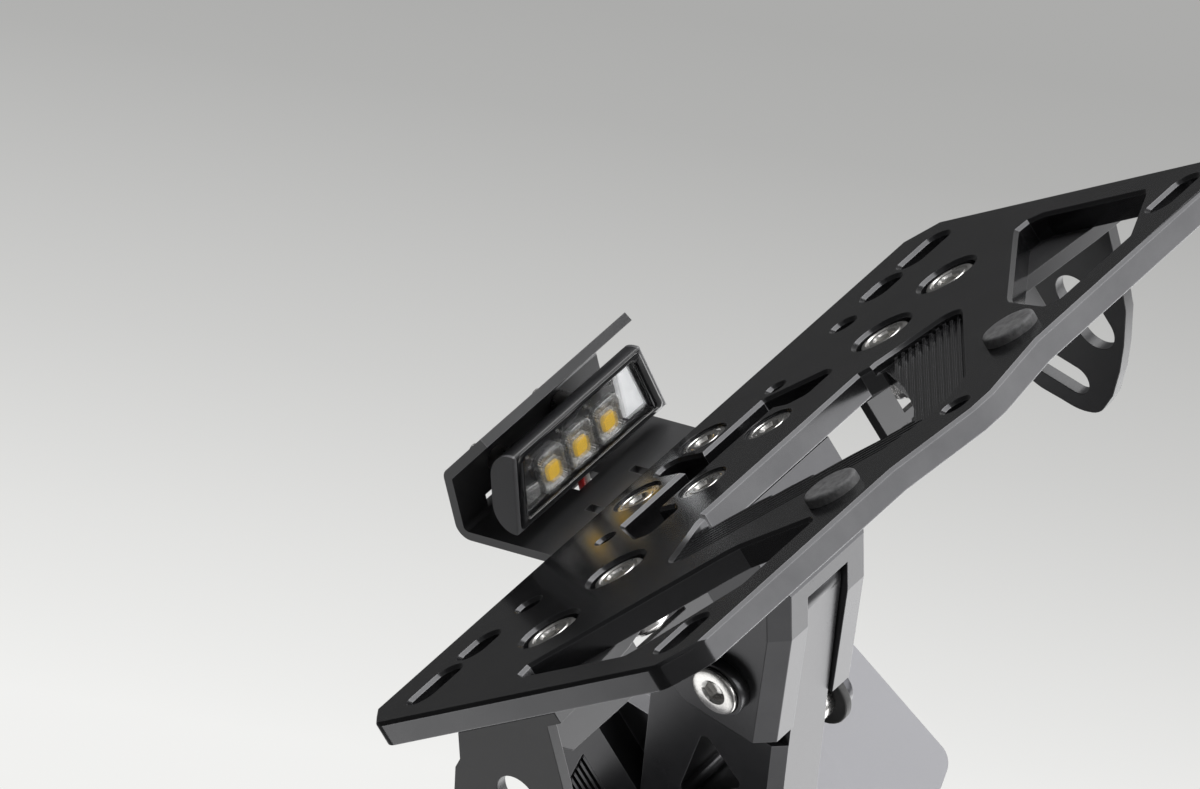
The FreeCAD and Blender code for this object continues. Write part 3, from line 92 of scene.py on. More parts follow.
HINGE_BOLT_RINGS = [
    (0, -37.8), (2.6, -37.8), (3.0, -37.4), (3.0, 0), (5.0, 0), (5.1, 0.15), (5.1, 1.85), (4.95, 2.08),
    (4.6, 2.2), (2.75, 2.2), (2.35, 1.95, HEX), (2.0, 1.8, HEX), (2.0, 0.75, HEX), (0.8, 0.55), (0, 0.5)]
ARM_SCREW_RINGS = [
    (0, -18), (2.6, -18), (3.0, -17.6), (3.0, -3.0), (5.95, -0.05), (5.9, 0), (2.8, 0), (2.05, -0.4, HEX),
    (2.0, -0.5, HEX), (2.0, -1.7, HEX), (0, -1.8)]
LAMP_NUT_RINGS = [
    (1.5, 0.0), (2.65, 0.0), (2.74, 0.15, HEX), (2.74, 1.25, HEX), (2.6, 1.4), (1.8, 1.4), (1.5, 1.2)]

# Merging of a CAD mesh's points (metres) and flat faces before its edges are broken
WELD_DISTANCE = 0.000004
FLAT_ANGLE = math.radians(0.6)
EDGE_ANGLE = math.radians(32)

# Above this angle in degrees an edge of a fastener is crisp
FASTENER_SHARP = 25.0

# Rounding of outline corners in metres: how far it reaches, and how long the short edges beside them are
CARRIER_CORNER = 0.0022
WING_CORNER = 0.002
SHORT_EDGE = (0.0004, 0.0009)
# How those corners are told from other edges: direction, length, angle in degrees and place across
SAME_WAY = 0.99
THROUGH_CARRIER = 0.003
THROUGH_SHEET = (0.0012, 0.004)
CARRIER_TURN = 35
WING_TURN = (24, 75)
CARRIER_END = 0.07

# Tones against the milled black of the bar, and of the mounting plate, whose paler tone is painted
# reflection
BAR_TONE = 1.3
PLATE_PAINTED_LIGHT_TONE = 6.4

# The lamp's middle (forwards, up) and its turn, then measures in its own frame: across, along its short
# side and in depth
LAMP_CENTRE = (-9.9, 30.05)
LAMP_TURN = math.radians(25.5)
CHIP_PITCH = 8.45
CHIP_OFFSET = 2.7
CUP_OFFSET = CHIP_OFFSET - 0.5
BOARD_DEPTH = 2.78
PART_DEPTH = 2.79
NUT_SPOTS = ((-9.5, 3.0), (9.5, 3.0))
SPACER_END = 15.045
BRACKET_THICK = 2.0
# Painted light: beyond this distance in metres from the middle the lamp's ends are painted paler
PAINTED_LIGHT_END = 0.0187

# The lamp's frame: (short half width, long half width, half height, depth, corner radius) round its section
FRAME_SECTION = (
    (18.9, 22.2, 7.75, 0.55, 1.6), (18.7, 22.0, 7.6, 0.05, 1.6), (18.2, 21.4, 7.35, -0.12, 1.5),
    (16.7, 19.6, 6.55, -0.02, 1.1), (16.5, 19.3, 6.4, 0.3, 1.0), (16.5, 19.3, 6.4, 0.55, 1.0))
# A cup: (half width, half height, depth) round its section, the rings that are pleated, and its corners
CUP_SECTION = (
    (3.75, 4.2, BOARD_DEPTH), (3.75, 4.2, 1.75), (3.55, 4.0, 1.62), (3.15, 3.45, 1.66), (2.2, 2.2, 2.3),
    (2.2, 2.2, BOARD_DEPTH))
PLEATED_RINGS = (1, 2, 3)
PLEAT = 0.10
CUP_STEPS = 48
CHIP_STEPS = 32
# Flat parts behind the clear front: four corners and the depth of the top
END_BLOCK = ((12.9, -5.4), (17.0, -5.4), (18.4, 5.0), (12.9, 5.0), 1.55)
END_TAB = ((-17.6, 2.0), (-12.6, 2.6), (-12.6, 5.6), (-18.2, 5.6), 2.0)
PART_SPOTS = ((-4.2, 1.0), (-4.2, 3.6), (4.2, 1.0), (4.2, 3.6), (-13.4, 0.2), (12.2, 3.5))
TRACK_SPOTS = [(x, y) for x in (-4.2, 4.2, -13.4, 12.2) for y in (-1.0, -3.4, 5.0)]
# The small parts' and tracks' half width, half height and depth of the top
PART_SIZE = (0.45, 0.7, 2.2)
TRACK_SIZE = (0.35, 0.25, 2.5)
# Painted light: how strongly the chips and the end block glow, standing in for the light that the clear
# front keeps from them
CHIP_PAINTED_GLOW = 0.55
END_PAINTED_GLOW = 0.7

# The wires' run (forwards, up), its length in metres, and each wire's place across
WIRE_ROUTE = (
    (-5.59, 35.65), (2.18, 39.36), (4.86, 40.64), (7.75, 39.97), (9.6, 37.65), (9.6, 34.7), (9.6, 15.0))
WIRES = (
    (-0.8, "lamp_wire_red", "wire_red", (0.55, 0.02, 0.02)),
    (0.8, "lamp_wire_white", "wire_white", (0.75, 0.74, 0.70)),
)

# The camera fitted to the photograph: its place from the carrier, its directions and its focal length
CAMERA_PLACE = (-2.110, -0.928, -2.897)
CAMERA_RIGHT = (0.617, 0.5046, -0.6039)
CAMERA_FORWARD = (0.5683, 0.2452, 0.7854)
FOCAL_PIXELS = 19790.3
PHOTO_WIDTH = 1200
PHOTO_HEIGHT = 789
SENSOR = 36.0

# Studio light: where the world is brightest, its levels from the dark side to there, the share of its pale
# side that mirrors show, and the soft lamps as (name, direction, distance, size, power)
WORLD_BRIGHT = (0.45, 0.80, -0.35)
WORLD_LEVELS = (
    (0.0, 0.03), (0.34, 0.04), (0.44, 0.06), (0.56, 0.42), (0.72, 1.25), (0.86, 2.0), (1.0, 2.2))
GLOSSY_SHARE = 0.06
LIGHT_AIM = (0, 30, 10)
SOFT_LAMPS = (
    ("front_box", (0.57, 0.79, 0.25), 1.6, 1.2, 6.0),
    ("under_box", (0.57, 0.25, -0.79), 1.8, 1.7, 38.0),
    ("rim_box", (0.57, -0.785, -0.245), 1.9, 1.5, 32.0),
    ("side_box", (-0.57, 0.245, 0.785), 1.8, 0.7, 2.6),
)

# The backdrop: distance, margin round the frame, direction of its painted shade and its levels from grey to
# pale
BACKDROP_DISTANCE = 9.0
BACKDROP_MARGIN = 1.15
BACKDROP_SHADE_WAY = (0.171, 1.0, 0.0)
BACKDROP_LEVELS = ((0.0, 0.88), (0.24, 0.762), (0.49, 0.617), (0.75, 0.491), (0.85, 0.445), (1.0, 0.412))
BACKDROP_BLUE = 0.985
FLOOR_REACH = 30.0
FLOOR_LEVEL = -5.2


def row(x, forward, up):
    """A point of the drawing, in millimetres, as a place in the row frame."""
    return Vector((x, forward - MOUNT_FORWARD, up - MOUNT_UP)) * MM


def lamp_row(x, y, z):
    """A point of the lamp's own frame (across, along its short side, into its depth)."""
    forward = LAMP_CENTRE[0] + y * math.cos(LAMP_TURN) - z * math.sin(LAMP_TURN)
    up = LAMP_CENTRE[1] + y * math.sin(LAMP_TURN) + z * math.cos(LAMP_TURN)
    return row(x, forward, up)


class TidyColours(bpy.types.PropertyGroup):
    """Colours that a user would change."""

    anodised: FloatVectorProperty(
        name="Milled black", description="Black anodised colour of the milled parts", subtype="COLOR",
        size=3, default=(0.034, 0.034, 0.036), min=0, max=1)
    sheet: FloatVectorProperty(
        name="Sheet black", description="Matte coating of the folded brackets", subtype="COLOR", size=3,
        default=(0.045, 0.045, 0.047), min=0, max=1)
    fastener: FloatVectorProperty(
        name="Fastener steel", description="Turned screw heads", subtype="COLOR", size=3,
        default=(0.66, 0.65, 0.63), min=0, max=1)
    chip: FloatVectorProperty(
        name="Lamp chip", description="Yellow of the light chips", subtype="COLOR", size=3,
        default=(0.90, 0.56, 0.06), min=0, max=1)
    backdrop: FloatVectorProperty(
        name="Backdrop", description="Pale grey of the studio", subtype="COLOR", size=3,
        default=(0.84, 0.84, 0.84), min=0, max=1)


class TidySizes(bpy.types.PropertyGroup):
    """Sizes that a user would change."""

    edge: FloatProperty(
        name="Broken edge", description="Width of the broken edge on the milled parts", unit="LENGTH",
        default=0.00022, min=0.00005, max=0.001)
    sheet_edge: FloatProperty(
        name="Sheet edge", description="Width of the rounded edge on the folded brackets", unit="LENGTH",
        default=0.0002, min=0.00005, max=0.001)
    screw_head: FloatProperty(
        name="Indicator screw head", description="Radius of the indicator screws' heads", unit="LENGTH",
        default=0.00525, min=0.003, max=0.0056)
    wire: FloatProperty(
        name="Wire", description="Diameter of the lamp's wires", unit="LENGTH",
        default=0.0014, min=0.001, max=0.0018)


def new_group(name, inputs, outputs):
    """An empty shader group with named sockets; returns it with its inner input and output."""
    group = bpy.data.node_groups.new(name, "ShaderNodeTree")
    for label, kind, value in inputs:
        socket = group.interface.new_socket(name=label, in_out="INPUT", socket_type=kind)
        if value is not None:
            socket.default_value = value
    for label, kind in outputs:
        group.interface.new_socket(name=label, in_out="OUTPUT", socket_type=kind)
    return group, group.nodes.new("NodeGroupInput"), group.nodes.new("NodeGroupOutput")


def math_node(tree, operation, *items, kind="ShaderNodeMath"):
    """A maths node whose inputs are sockets or values; returns its result."""
    node = tree.nodes.new(kind)
    node.operation = operation
    for socket, item in zip(node.inputs, items):
        if hasattr(item, "is_linked"):
            tree.links.new(item, socket)
        else:
            socket.default_value = item
    return node.outputs["Value"]


def dot_product(tree, first, second):
    """How far one direction or place reaches along another."""
    return math_node(tree, "DOT_PRODUCT", first, second, kind="ShaderNodeVectorMath")


def object_place(tree):
    """The shaded point in the object's own coordinates."""
    return tree.nodes.new("ShaderNodeTexCoord").outputs["Object"]


def level_ramp(tree, factor, levels, blue=1.0):
    """A ramp through grey levels; returns its colour."""
    ramp = tree.nodes.new("ShaderNodeValToRGB")
    while len(ramp.color_ramp.elements) < len(levels):
        ramp.color_ramp.elements.new(0.5)
    for element, (position, level) in zip(ramp.color_ramp.elements, levels):
        element.position = position
        element.color = (level, level, level * blue, 1)
    tree.links.new(factor, ramp.inputs["Fac"])
    return ramp.outputs["Color"]


def mix_colour(tree, factor, base, colour):
    """One colour over another where a factor is high; returns the mixture."""
    mix = tree.nodes.new("ShaderNodeMix")
    mix.data_type = "RGBA"
    tree.links.new(factor, mix.inputs[0])
    tree.links.new(base, mix.inputs["A"])
    mix.inputs["B"].default_value = (*colour, 1.0)
    return mix.outputs["Result"]


def relief(tree, shader, height, strength):
    """Fine relief on a shader's surface."""
    bump = tree.nodes.new("ShaderNodeBump")
    bump.inputs["Strength"].default_value = strength
    bump.inputs["Distance"].default_value = 0.0002
    tree.links.new(height, bump.inputs["Height"])
    tree.links.new(bump.outputs["Normal"], shader.inputs["Normal"])


def surface_grain_group():
    """Fine blasted grain and soft handling marks, as a colour factor, a roughness and a height."""
    group, source, sink = new_group(
        "surface_grain",
        [("Grain Scale", "NodeSocketFloat", 2500.0), ("Mark Scale", "NodeSocketFloat", 60.0),
         ("Base Roughness", "NodeSocketFloat", 0.35), ("Roughness Spread", "NodeSocketFloat", 0.1),
         ("Tint", "NodeSocketColor", (0.05, 0.05, 0.05, 1)), ("Tint Spread", "NodeSocketFloat", 0.25)],
        [("Color", "NodeSocketColor"), ("Roughness", "NodeSocketFloat"), ("Height", "NodeSocketFloat")])
    links = group.links
    place = object_place(group)
    fine = group.nodes.new("ShaderNodeTexNoise")
    fine.inputs["Detail"].default_value = 2.0
    broad = group.nodes.new("ShaderNodeTexNoise")
    broad.inputs["Detail"].default_value = 5.0
    broad.inputs["Roughness"].default_value = 0.65
    links.new(place, fine.inputs["Vector"])
    links.new(place, broad.inputs["Vector"])
    links.new(source.outputs["Grain Scale"], fine.inputs["Scale"])
    links.new(source.outputs["Mark Scale"], broad.inputs["Scale"])
    centred = math_node(group, "SUBTRACT", broad.outputs["Fac"], 0.5)
    spread = math_node(group, "MULTIPLY", centred, source.outputs["Roughness Spread"])
    fine_centred = math_node(group, "SUBTRACT", fine.outputs["Fac"], 0.5)
    fine_share = math_node(group, "MULTIPLY", fine_centred, 0.08)
    rough = math_node(group, "ADD", source.outputs["Base Roughness"], spread)
    links.new(math_node(group, "ADD", rough, fine_share), sink.inputs["Roughness"])
    factor = math_node(group, "MULTIPLY", centred, source.outputs["Tint Spread"])
    bright = group.nodes.new("ShaderNodeBrightContrast")
    links.new(source.outputs["Tint"], bright.inputs["Color"])
    links.new(math_node(group, "MULTIPLY", factor, 0.1), bright.inputs["Bright"])
    links.new(bright.outputs["Color"], sink.inputs["Color"])
    links.new(fine.outputs["Fac"], sink.inputs["Height"])
    return group


def painted_edge_highlight_group():
    """A mask that is high on convex edges, for a painted highlight: the lighter line where light catches
    them.
    """
    group, source, sink = new_group(
        "painted_edge_highlight",
        [("Radius", "NodeSocketFloat", 0.0005), ("Strength", "NodeSocketFloat", 1.0)],
        [("Mask", "NodeSocketFloat")])
    bevel = group.nodes.new("ShaderNodeBevel")
    bevel.samples = 6
    group.links.new(source.outputs["Radius"], bevel.inputs["Radius"])
    geometry = group.nodes.new("ShaderNodeNewGeometry")
    dot = dot_product(group, bevel.outputs["Normal"], geometry.outputs["Normal"])
    gap = math_node(group, "SUBTRACT", 1.0, dot)
    grown = math_node(group, "MULTIPLY", gap, 3.0)
    mask = math_node(group, "MULTIPLY", grown, source.outputs["Strength"])
    clamp = group.nodes.new("ShaderNodeClamp")
    group.links.new(mask, clamp.inputs["Value"])
    group.links.new(clamp.outputs["Result"], sink.inputs["Mask"])
    return group


def shared_group(name, make):
    """One copy of each shared effect."""
    return bpy.data.node_groups.get(name) or make()


def put_group(tree, group, values):
    """A shared effect in one material's tree, with its values."""
    node = tree.nodes.new("ShaderNodeGroup")
    node.node_tree = group
    for label, value in values.items():
        node.inputs[label].default_value = value
    return node


def new_material(name):
    """A material with its tree."""
    material = bpy.data.materials.new(name)
    material.use_nodes = True
    return material, material.node_tree


def finish_material(
        name, colour, roughness, metallic=0.0, grain=0.05, marks=0.1, tint=0.3, coat=0.0, specular=0.5,
        edge=0.0, edge_highlight_colour=(0.3, 0.3, 0.3), grain_scale=2500.0, mark_scale=60.0, painted_glow=0.0):
    """A solid finish: grain, handling marks and, where asked, a painted highlight on convex edges or a
    painted glow of its own colour.
    """
    material, tree = new_material(name)
    shader = tree.nodes["Principled BSDF"]
    shader.inputs["Metallic"].default_value = metallic
    shader.inputs["Specular IOR Level"].default_value = specular
    shader.inputs["Coat Weight"].default_value = coat
    shader.inputs["Coat Roughness"].default_value = 0.12
    surface = put_group(tree, shared_group("surface_grain", surface_grain_group), {
        "Grain Scale": grain_scale, "Mark Scale": mark_scale, "Base Roughness": roughness,
        "Roughness Spread": marks, "Tint": (*colour, 1.0), "Tint Spread": tint})
    tree.links.new(surface.outputs["Roughness"], shader.inputs["Roughness"])
    relief(tree, shader, surface.outputs["Height"], grain)
    base = surface.outputs["Color"]
    # Painted highlight: where asked, the colour turns lighter on convex edges, where light catches them
    if edge:
        values = {"Radius": 0.0004, "Strength": edge}
        painted_highlight = put_group(tree, shared_group("painted_edge_highlight", painted_edge_highlight_group), values)
        base = mix_colour(tree, painted_highlight.outputs["Mask"], base, edge_highlight_colour)
    tree.links.new(base, shader.inputs["Base Color"])
    # Painted light: where asked, the part glows in its own colour
    if painted_glow:
        tree.links.new(base, shader.inputs["Emission Color"])
        shader.inputs["Emission Strength"].default_value = painted_glow
    return material


def paint_light_on_ends(material, reach, colour):
    """Paint light on a long body: the parts that lie beyond one distance from its middle get a paler tone.
    """
    tree = material.node_tree
    shader = tree.nodes["Principled BSDF"]
    place = tree.nodes.new("ShaderNodeSeparateXYZ")
    tree.links.new(object_place(tree), place.inputs[0])
    across = math_node(tree, "ABSOLUTE", place.outputs["X"])
    beyond = math_node(tree, "GREATER_THAN", across, reach)
    base = shader.inputs["Base Color"].links[0].from_socket
    tree.links.new(mix_colour(tree, beyond, base, colour), shader.inputs["Base Color"])


def clear_material(name, colour, roughness=0.02):
    """Clear moulded plastic."""
    material, tree = new_material(name)
    shader = tree.nodes["Principled BSDF"]
    shader.inputs["Base Color"].default_value = (*colour, 1.0)
    shader.inputs["Roughness"].default_value = roughness
    shader.inputs["IOR"].default_value = 1.49
    shader.inputs["Transmission Weight"].default_value = 1.0
    shader.inputs["Alpha"].default_value = 0.35
    noise = tree.nodes.new("ShaderNodeTexNoise")
    noise.inputs["Scale"].default_value = 180.0
    tree.links.new(object_place(tree), noise.inputs["Vector"])
    relief(tree, shader, noise.outputs["Fac"], 0.004)
    return material


def place_object(name, data):
    """A new object in the scene."""
    item = bpy.data.objects.new(name, data)
    bpy.context.scene.collection.objects.link(item)
    return item


def break_edges(piece, width):
    """A live modifier that breaks a piece's edges."""
    bevel = piece.modifiers.new("broken_edge", "BEVEL")
    bevel.width = width
    bevel.segments = 2
    bevel.limit_method = "ANGLE"
    bevel.angle_limit = EDGE_ANGLE
    return bevel


def dress_node(name, material, edge=0.0):
    """Give a CAD piece its finish and, where asked, a broken edge that live modifiers cut."""
    piece = NODES[name]
    piece.data.materials.clear()
    piece.data.materials.append(material)
    if edge:
        weld = piece.modifiers.new("join_corners", "WELD")
        weld.merge_threshold = WELD_DISTANCE
        merge = piece.modifiers.new("merge_flats", "DECIMATE")
        merge.decimate_type = "DISSOLVE"
        merge.angle_limit = FLAT_ANGLE
        break_edges(piece, edge).harden_normals = True


def rounded_copy(name, new_name, material, wanted, reach, edge):
    """A merged copy of a CAD piece with rounded outer corners; a live modifier breaks its edges."""
    form = bmesh.new()
    form.from_mesh(NODES[name].data)
    bmesh.ops.remove_doubles(form, verts=form.verts, dist=WELD_DISTANCE)
    bmesh.ops.dissolve_limit(form, angle_limit=FLAT_ANGLE, verts=form.verts, edges=form.edges)
    corners = {item for item in form.edges if item.is_manifold and wanted(item)}
    beside = {item for corner in corners for vertex in corner.verts for item in vertex.link_edges}
    links = {item for item in beside if SHORT_EDGE[0] < item.calc_length() < SHORT_EDGE[1]}
    bmesh.ops.bevel(
        form, geom=list(corners | links), offset=reach, offset_type="OFFSET", segments=4, profile=0.5,
        affect="EDGES", clamp_overlap=False)
    mesh = bpy.data.meshes.new(new_name)
    form.to_mesh(mesh)
    form.free()
    piece = mesh_piece(new_name, mesh, material, CARRIER_SIDE, [name], sharp=28.0)
    break_edges(piece, edge)


def run_and_angle(item):
    """The way from one end of an edge to the other, and the angle between its faces in degrees."""
    return item.verts[1].co - item.verts[0].co, math.degrees(item.calc_face_angle(0))


def outer_corner(item):
    """The carrier's outline corners, which run through its thickness."""
    along, angle = run_and_angle(item)
    through = along.length > THROUGH_CARRIER and abs(along.normalized().y) > SAME_WAY
    outside = abs(item.verts[0].co.x) > CARRIER_END
    return item.is_convex and angle > CARRIER_TURN and through and outside


def wing_corner(item):
    """The corners of an indicator bracket's outer leaf, which run through the sheet."""
    along, angle = run_and_angle(item)
    thin, thick = THROUGH_SHEET
    through = thin < along.length < thick and abs(along.normalized().x) > SAME_WAY
    return item.is_convex and through and WING_TURN[0] < angle < WING_TURN[1]


def hexagon_reach(angle, apothem):
    """How far a hexagon's side lies from its middle in one direction."""
    turn = (angle + math.pi / 6) % (math.pi / 3) - math.pi / 6
    return apothem / math.cos(turn)


def turned_mesh(name, rings, steps=72):
    """A turned solid from (radius, height) rings, closed at both ends, along +Z, in millimetres."""
    mesh = bpy.data.meshes.new(name)
    form = bmesh.new()
    loops = []
    for radius, height, *hexagonal in rings:
        if radius == 0:
            loops.append([form.verts.new((0, 0, height * MM))])
            continue
        loop = []
        for step in range(steps):
            angle = math.tau * step / steps
            reach = hexagon_reach(angle, radius) if hexagonal else radius
            place = (reach * math.cos(angle) * MM, reach * math.sin(angle) * MM, height * MM)
            loop.append(form.verts.new(place))
        loops.append(loop)
    for lower, upper in zip(loops, loops[1:]):
        for step in range(steps):
            following = (step + 1) % steps
            if len(lower) == 1:
                form.faces.new((lower[0], upper[following], upper[step]))
            elif len(upper) == 1:
                form.faces.new((lower[step], lower[following], upper[0]))
            else:
                form.faces.new((lower[step], lower[following], upper[following], upper[step]))
    if len(loops[0]) > 1:
        for step in range(steps):
            following = (step + 1) % steps
            form.faces.new((loops[-1][step], loops[-1][following], loops[0][following], loops[0][step]))
    bmesh.ops.recalc_face_normals(form, faces=form.faces)
    form.to_mesh(mesh)
    form.free()
    return mesh


def scatter_tree(name, material):
    """A geometry tree that puts one piece on every point, turned alike, and gives it its finish."""
    tree = bpy.data.node_groups.new(name, "GeometryNodeTree")
    tree.interface.new_socket(name="Geometry", in_out="INPUT", socket_type="NodeSocketGeometry")
    tree.interface.new_socket(name="Piece", in_out="INPUT", socket_type="NodeSocketObject")
    tree.interface.new_socket(name="Turn", in_out="INPUT", socket_type="NodeSocketRotation")
    size = tree.interface.new_socket(name="Size", in_out="INPUT", socket_type="NodeSocketFloat")
    size.default_value = 1.0
    tree.interface.new_socket(name="Geometry", in_out="OUTPUT", socket_type="NodeSocketGeometry")
    source = tree.nodes.new("NodeGroupInput")
    sink = tree.nodes.new("NodeGroupOutput")
    points = tree.nodes.new("GeometryNodeMeshToPoints")
    info = tree.nodes.new("GeometryNodeObjectInfo")
    info.transform_space = "ORIGINAL"
    instances = tree.nodes.new("GeometryNodeInstanceOnPoints")
    real = tree.nodes.new("GeometryNodeRealizeInstances")
    finish = tree.nodes.new("GeometryNodeSetMaterial")
    finish.inputs["Material"].default_value = material
    links = tree.links
    links.new(source.outputs["Geometry"], points.inputs["Mesh"])
    links.new(source.outputs["Piece"], info.inputs["Object"])
    links.new(points.outputs["Points"], instances.inputs["Points"])
    links.new(info.outputs["Geometry"], instances.inputs["Instance"])
    links.new(source.outputs["Turn"], instances.inputs["Rotation"])
    links.new(source.outputs["Size"], instances.inputs["Scale"])
    links.new(instances.outputs["Instances"], real.inputs["Geometry"])
    links.new(real.outputs["Geometry"], finish.inputs["Geometry"])
    links.new(finish.outputs["Geometry"], sink.inputs["Geometry"])
    return tree


def scatter(name, prototype, spots, turn, material, body, replaced):
    """Bake one prototype on several places into a plain mesh that rides on its body."""
    carrier = bpy.data.meshes.new(name + "_spots")
    carrier.from_pydata([tuple(spot) for spot in spots], [], [])
    holder = place_object(name + "_holder", carrier)
    model = bpy.data.objects.new(name + "_model", prototype)
    tree = scatter_tree(name + "_tree", material)
    modifier = holder.modifiers.new("scatter", "NODES")
    modifier.node_group = tree
    sockets = {item.name: item.identifier for item in tree.interface.items_tree if item.in_out == "INPUT"}
    modifier[sockets["Piece"]] = model
    modifier[sockets["Turn"]] = turn
    modifier[sockets["Size"]] = 1.0
    bpy.context.view_layer.update()
    graph = bpy.context.evaluated_depsgraph_get()
    mesh = bpy.data.meshes.new_from_object(holder.evaluated_get(graph))
    mesh.name = name
    holder.modifiers.remove(modifier)
    bpy.data.objects.remove(holder)
    bpy.data.objects.remove(model)
    add_piece(name, mesh, body, replaced, FASTENER_SHARP)


def mark_sharp(mesh, degrees):
    """Smooth shading with crisp edges above one angle."""
    form = bmesh.new()
    form.from_mesh(mesh)
    for edge in form.edges:
        edge.smooth = len(edge.link_faces) == 2 and edge.calc_face_angle(0) < math.radians(degrees)
    for face in form.faces:
        face.smooth = True
    form.to_mesh(mesh)
    form.free()


def settle(piece, body, replaced=()):
    """Tie a finished piece to its body and hide the nodes it stands for."""
    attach(piece, body)
    if replaced:
        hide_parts(*replaced)


def add_piece(name, mesh, body, replaced, sharp):
    """Put a finished mesh in the scene, with crisp edges above one angle, and tie it to its body."""
    piece = place_object(name, mesh)
    mark_sharp(mesh, sharp)
    settle(piece, body, replaced)
    return piece


def mesh_piece(name, mesh, material, body, replaced=(), sharp=35.0):
    """A piece of one material."""
    mesh.materials.append(material)
    return add_piece(name, mesh, body, replaced, sharp)


def turned_piece(name, rings, place, turn, material, replaced, sharp=35.0):
    """One turned piece at one place of the carrier's side."""
    mesh = turned_mesh(name, rings)
    mesh.transform(Matrix.Translation(place) @ turn.to_matrix().to_4x4())
    mesh_piece(name, mesh, material, CARRIER_SIDE, [replaced], sharp)


def colours():
    """The user's colours."""
    return bpy.context.scene.tidy_colours


def sizes():
    """The user's sizes."""
    return bpy.context.scene.tidy_sizes


def steel_material(name, roughness, colour=None):
    """Turned steel with fine grain and marks in its roughness and tone."""
    return finish_material(
        name, colour or tuple(colours().fastener), roughness, metallic=1.0, grain=0.06, marks=0.18,
        tint=0.6, grain_scale=1800.0, mark_scale=300.0)


def black_steel(name):
    """Blackened steel with a soft gloss."""
    return finish_material(name, (0.05, 0.05, 0.055), 0.33, metallic=0.8, grain=0.06, marks=0.1)


class TIDY_OT_milled(bpy.types.Operator):
    """Black anodised finish of the carrier, hinge block, arm and mounting plate"""

    bl_idname = "tidy.milled"
    bl_label = "Milled parts"

    def execute(self, context):
        base = tuple(colours().anodised)
        # The edge values paint a highlight of lighter colour on the convex edges
        face = finish_material(
            "anodised_black", base, 0.17, metallic=0.7, grain=0.006, marks=0.06, tint=0.35, specular=0.6,
            edge=0.6, edge_highlight_colour=(0.30, 0.30, 0.31))
        bar = finish_material(
            "anodised_bar", tuple(c * BAR_TONE for c in base), 0.30, metallic=0.7, grain=0.012, marks=0.10,
            tint=0.35, specular=0.6, edge=0.6, edge_highlight_colour=(0.26, 0.26, 0.27))
        # Painted reflection: the mounting plate is the same black anodising, painted paler
        pale = finish_material(
            "anodised_painted_light", tuple(c * PLATE_PAINTED_LIGHT_TONE for c in base), 0.52, metallic=0.35, grain=0.012,
            marks=0.10, tint=0.35, specular=0.6, edge=0.5, edge_highlight_colour=(0.30, 0.30, 0.31))
        rounded_copy(
            "plate_carrier", "carrier_body", face, outer_corner, CARRIER_CORNER,
            sizes().edge)
        for name in ("hinge_block", "arm", "pivot_cup", "pivot_washer"):
            dress_node(name, bar, sizes().edge)
        dress_node("mounting_plate", pale, sizes().edge)
        return {"FINISHED"}


class TIDY_OT_sheets(bpy.types.Operator):
    """Matte coated sheet of the lamp bracket and the two indicator brackets"""

    bl_idname = "tidy.sheets"
    bl_label = "Folded brackets"

    def execute(self, context):
        # The edge values paint a highlight of lighter colour on the sheet's convex edges
        coat = finish_material(
            "coated_sheet", tuple(colours().sheet), 0.42, metallic=0.3, grain=0.03, marks=0.08, tint=0.3,
            specular=0.5, edge=0.4, edge_highlight_colour=(0.2, 0.2, 0.2), grain_scale=3500.0)
        dress_node("lamp_bracket", coat, sizes().sheet_edge)
        for side in ("left", "right"):
            rounded_copy(
                "indicator_bracket_" + side, "wing_" + side, coat, wing_corner, WING_CORNER,
                sizes().sheet_edge)
        return {"FINISHED"}


class TIDY_OT_pads(bpy.types.Operator):
    """Two rubber discs with a rounded rim and a faintly mottled top"""

    bl_idname = "tidy.pads"
    bl_label = "Rubber pads"

    def execute(self, context):
        rubber = finish_material(
            "pad_rubber", (0.105, 0.105, 0.107), 0.72, grain=0.5, marks=0.12, tint=2.2, grain_scale=1300.0,
            mark_scale=700.0)
        for name, x, z in PAD_SPOTS:
            turned_piece(name + "_disc", PAD_RINGS, row(x, 0, z), REARWARD, rubber, name)
        return {"FINISHED"}


class TIDY_OT_block_screws(bpy.types.Operator):
    """Four countersunk screws of the hinge block, polished rim and hexagon socket"""

    bl_idname = "tidy.block_screws"
    bl_label = "Block screws"

    def execute(self, context):
        steel = steel_material("block_screw_steel", 0.24)
        mesh = turned_mesh("block_screw_form", BLOCK_SCREW_RINGS)
        spots = [row(x, BLOCK_SEAT, z) for x, z in BLOCK_SPOTS]
        scatter(
            "block_screw_set", mesh, spots, REARWARD, steel, CARRIER_SIDE, ["block_screws"])
        return {"FINISHED"}


def indicator_screw_rings(head):
    """The rings of an indicator screw, from the radius of its head."""
    return [
        (0, -10.1), (2.6, -10.1), (3.0, -9.7), (3.0, 0), (head, 0), (head, 2.0), (head - 0.3, 2.45),
        (head - 0.75, 2.6), (head - 1.15, 2.6), (head - 1.35, 2.3), (head - 1.75, 2.3), (head - 1.95, 2.52),
        (2.5, 2.52), (2.05, 2.15, HEX), (2.0, 2.0, HEX), (2.0, 0.85, HEX), (0.8, 0.55), (0, 0.5)]


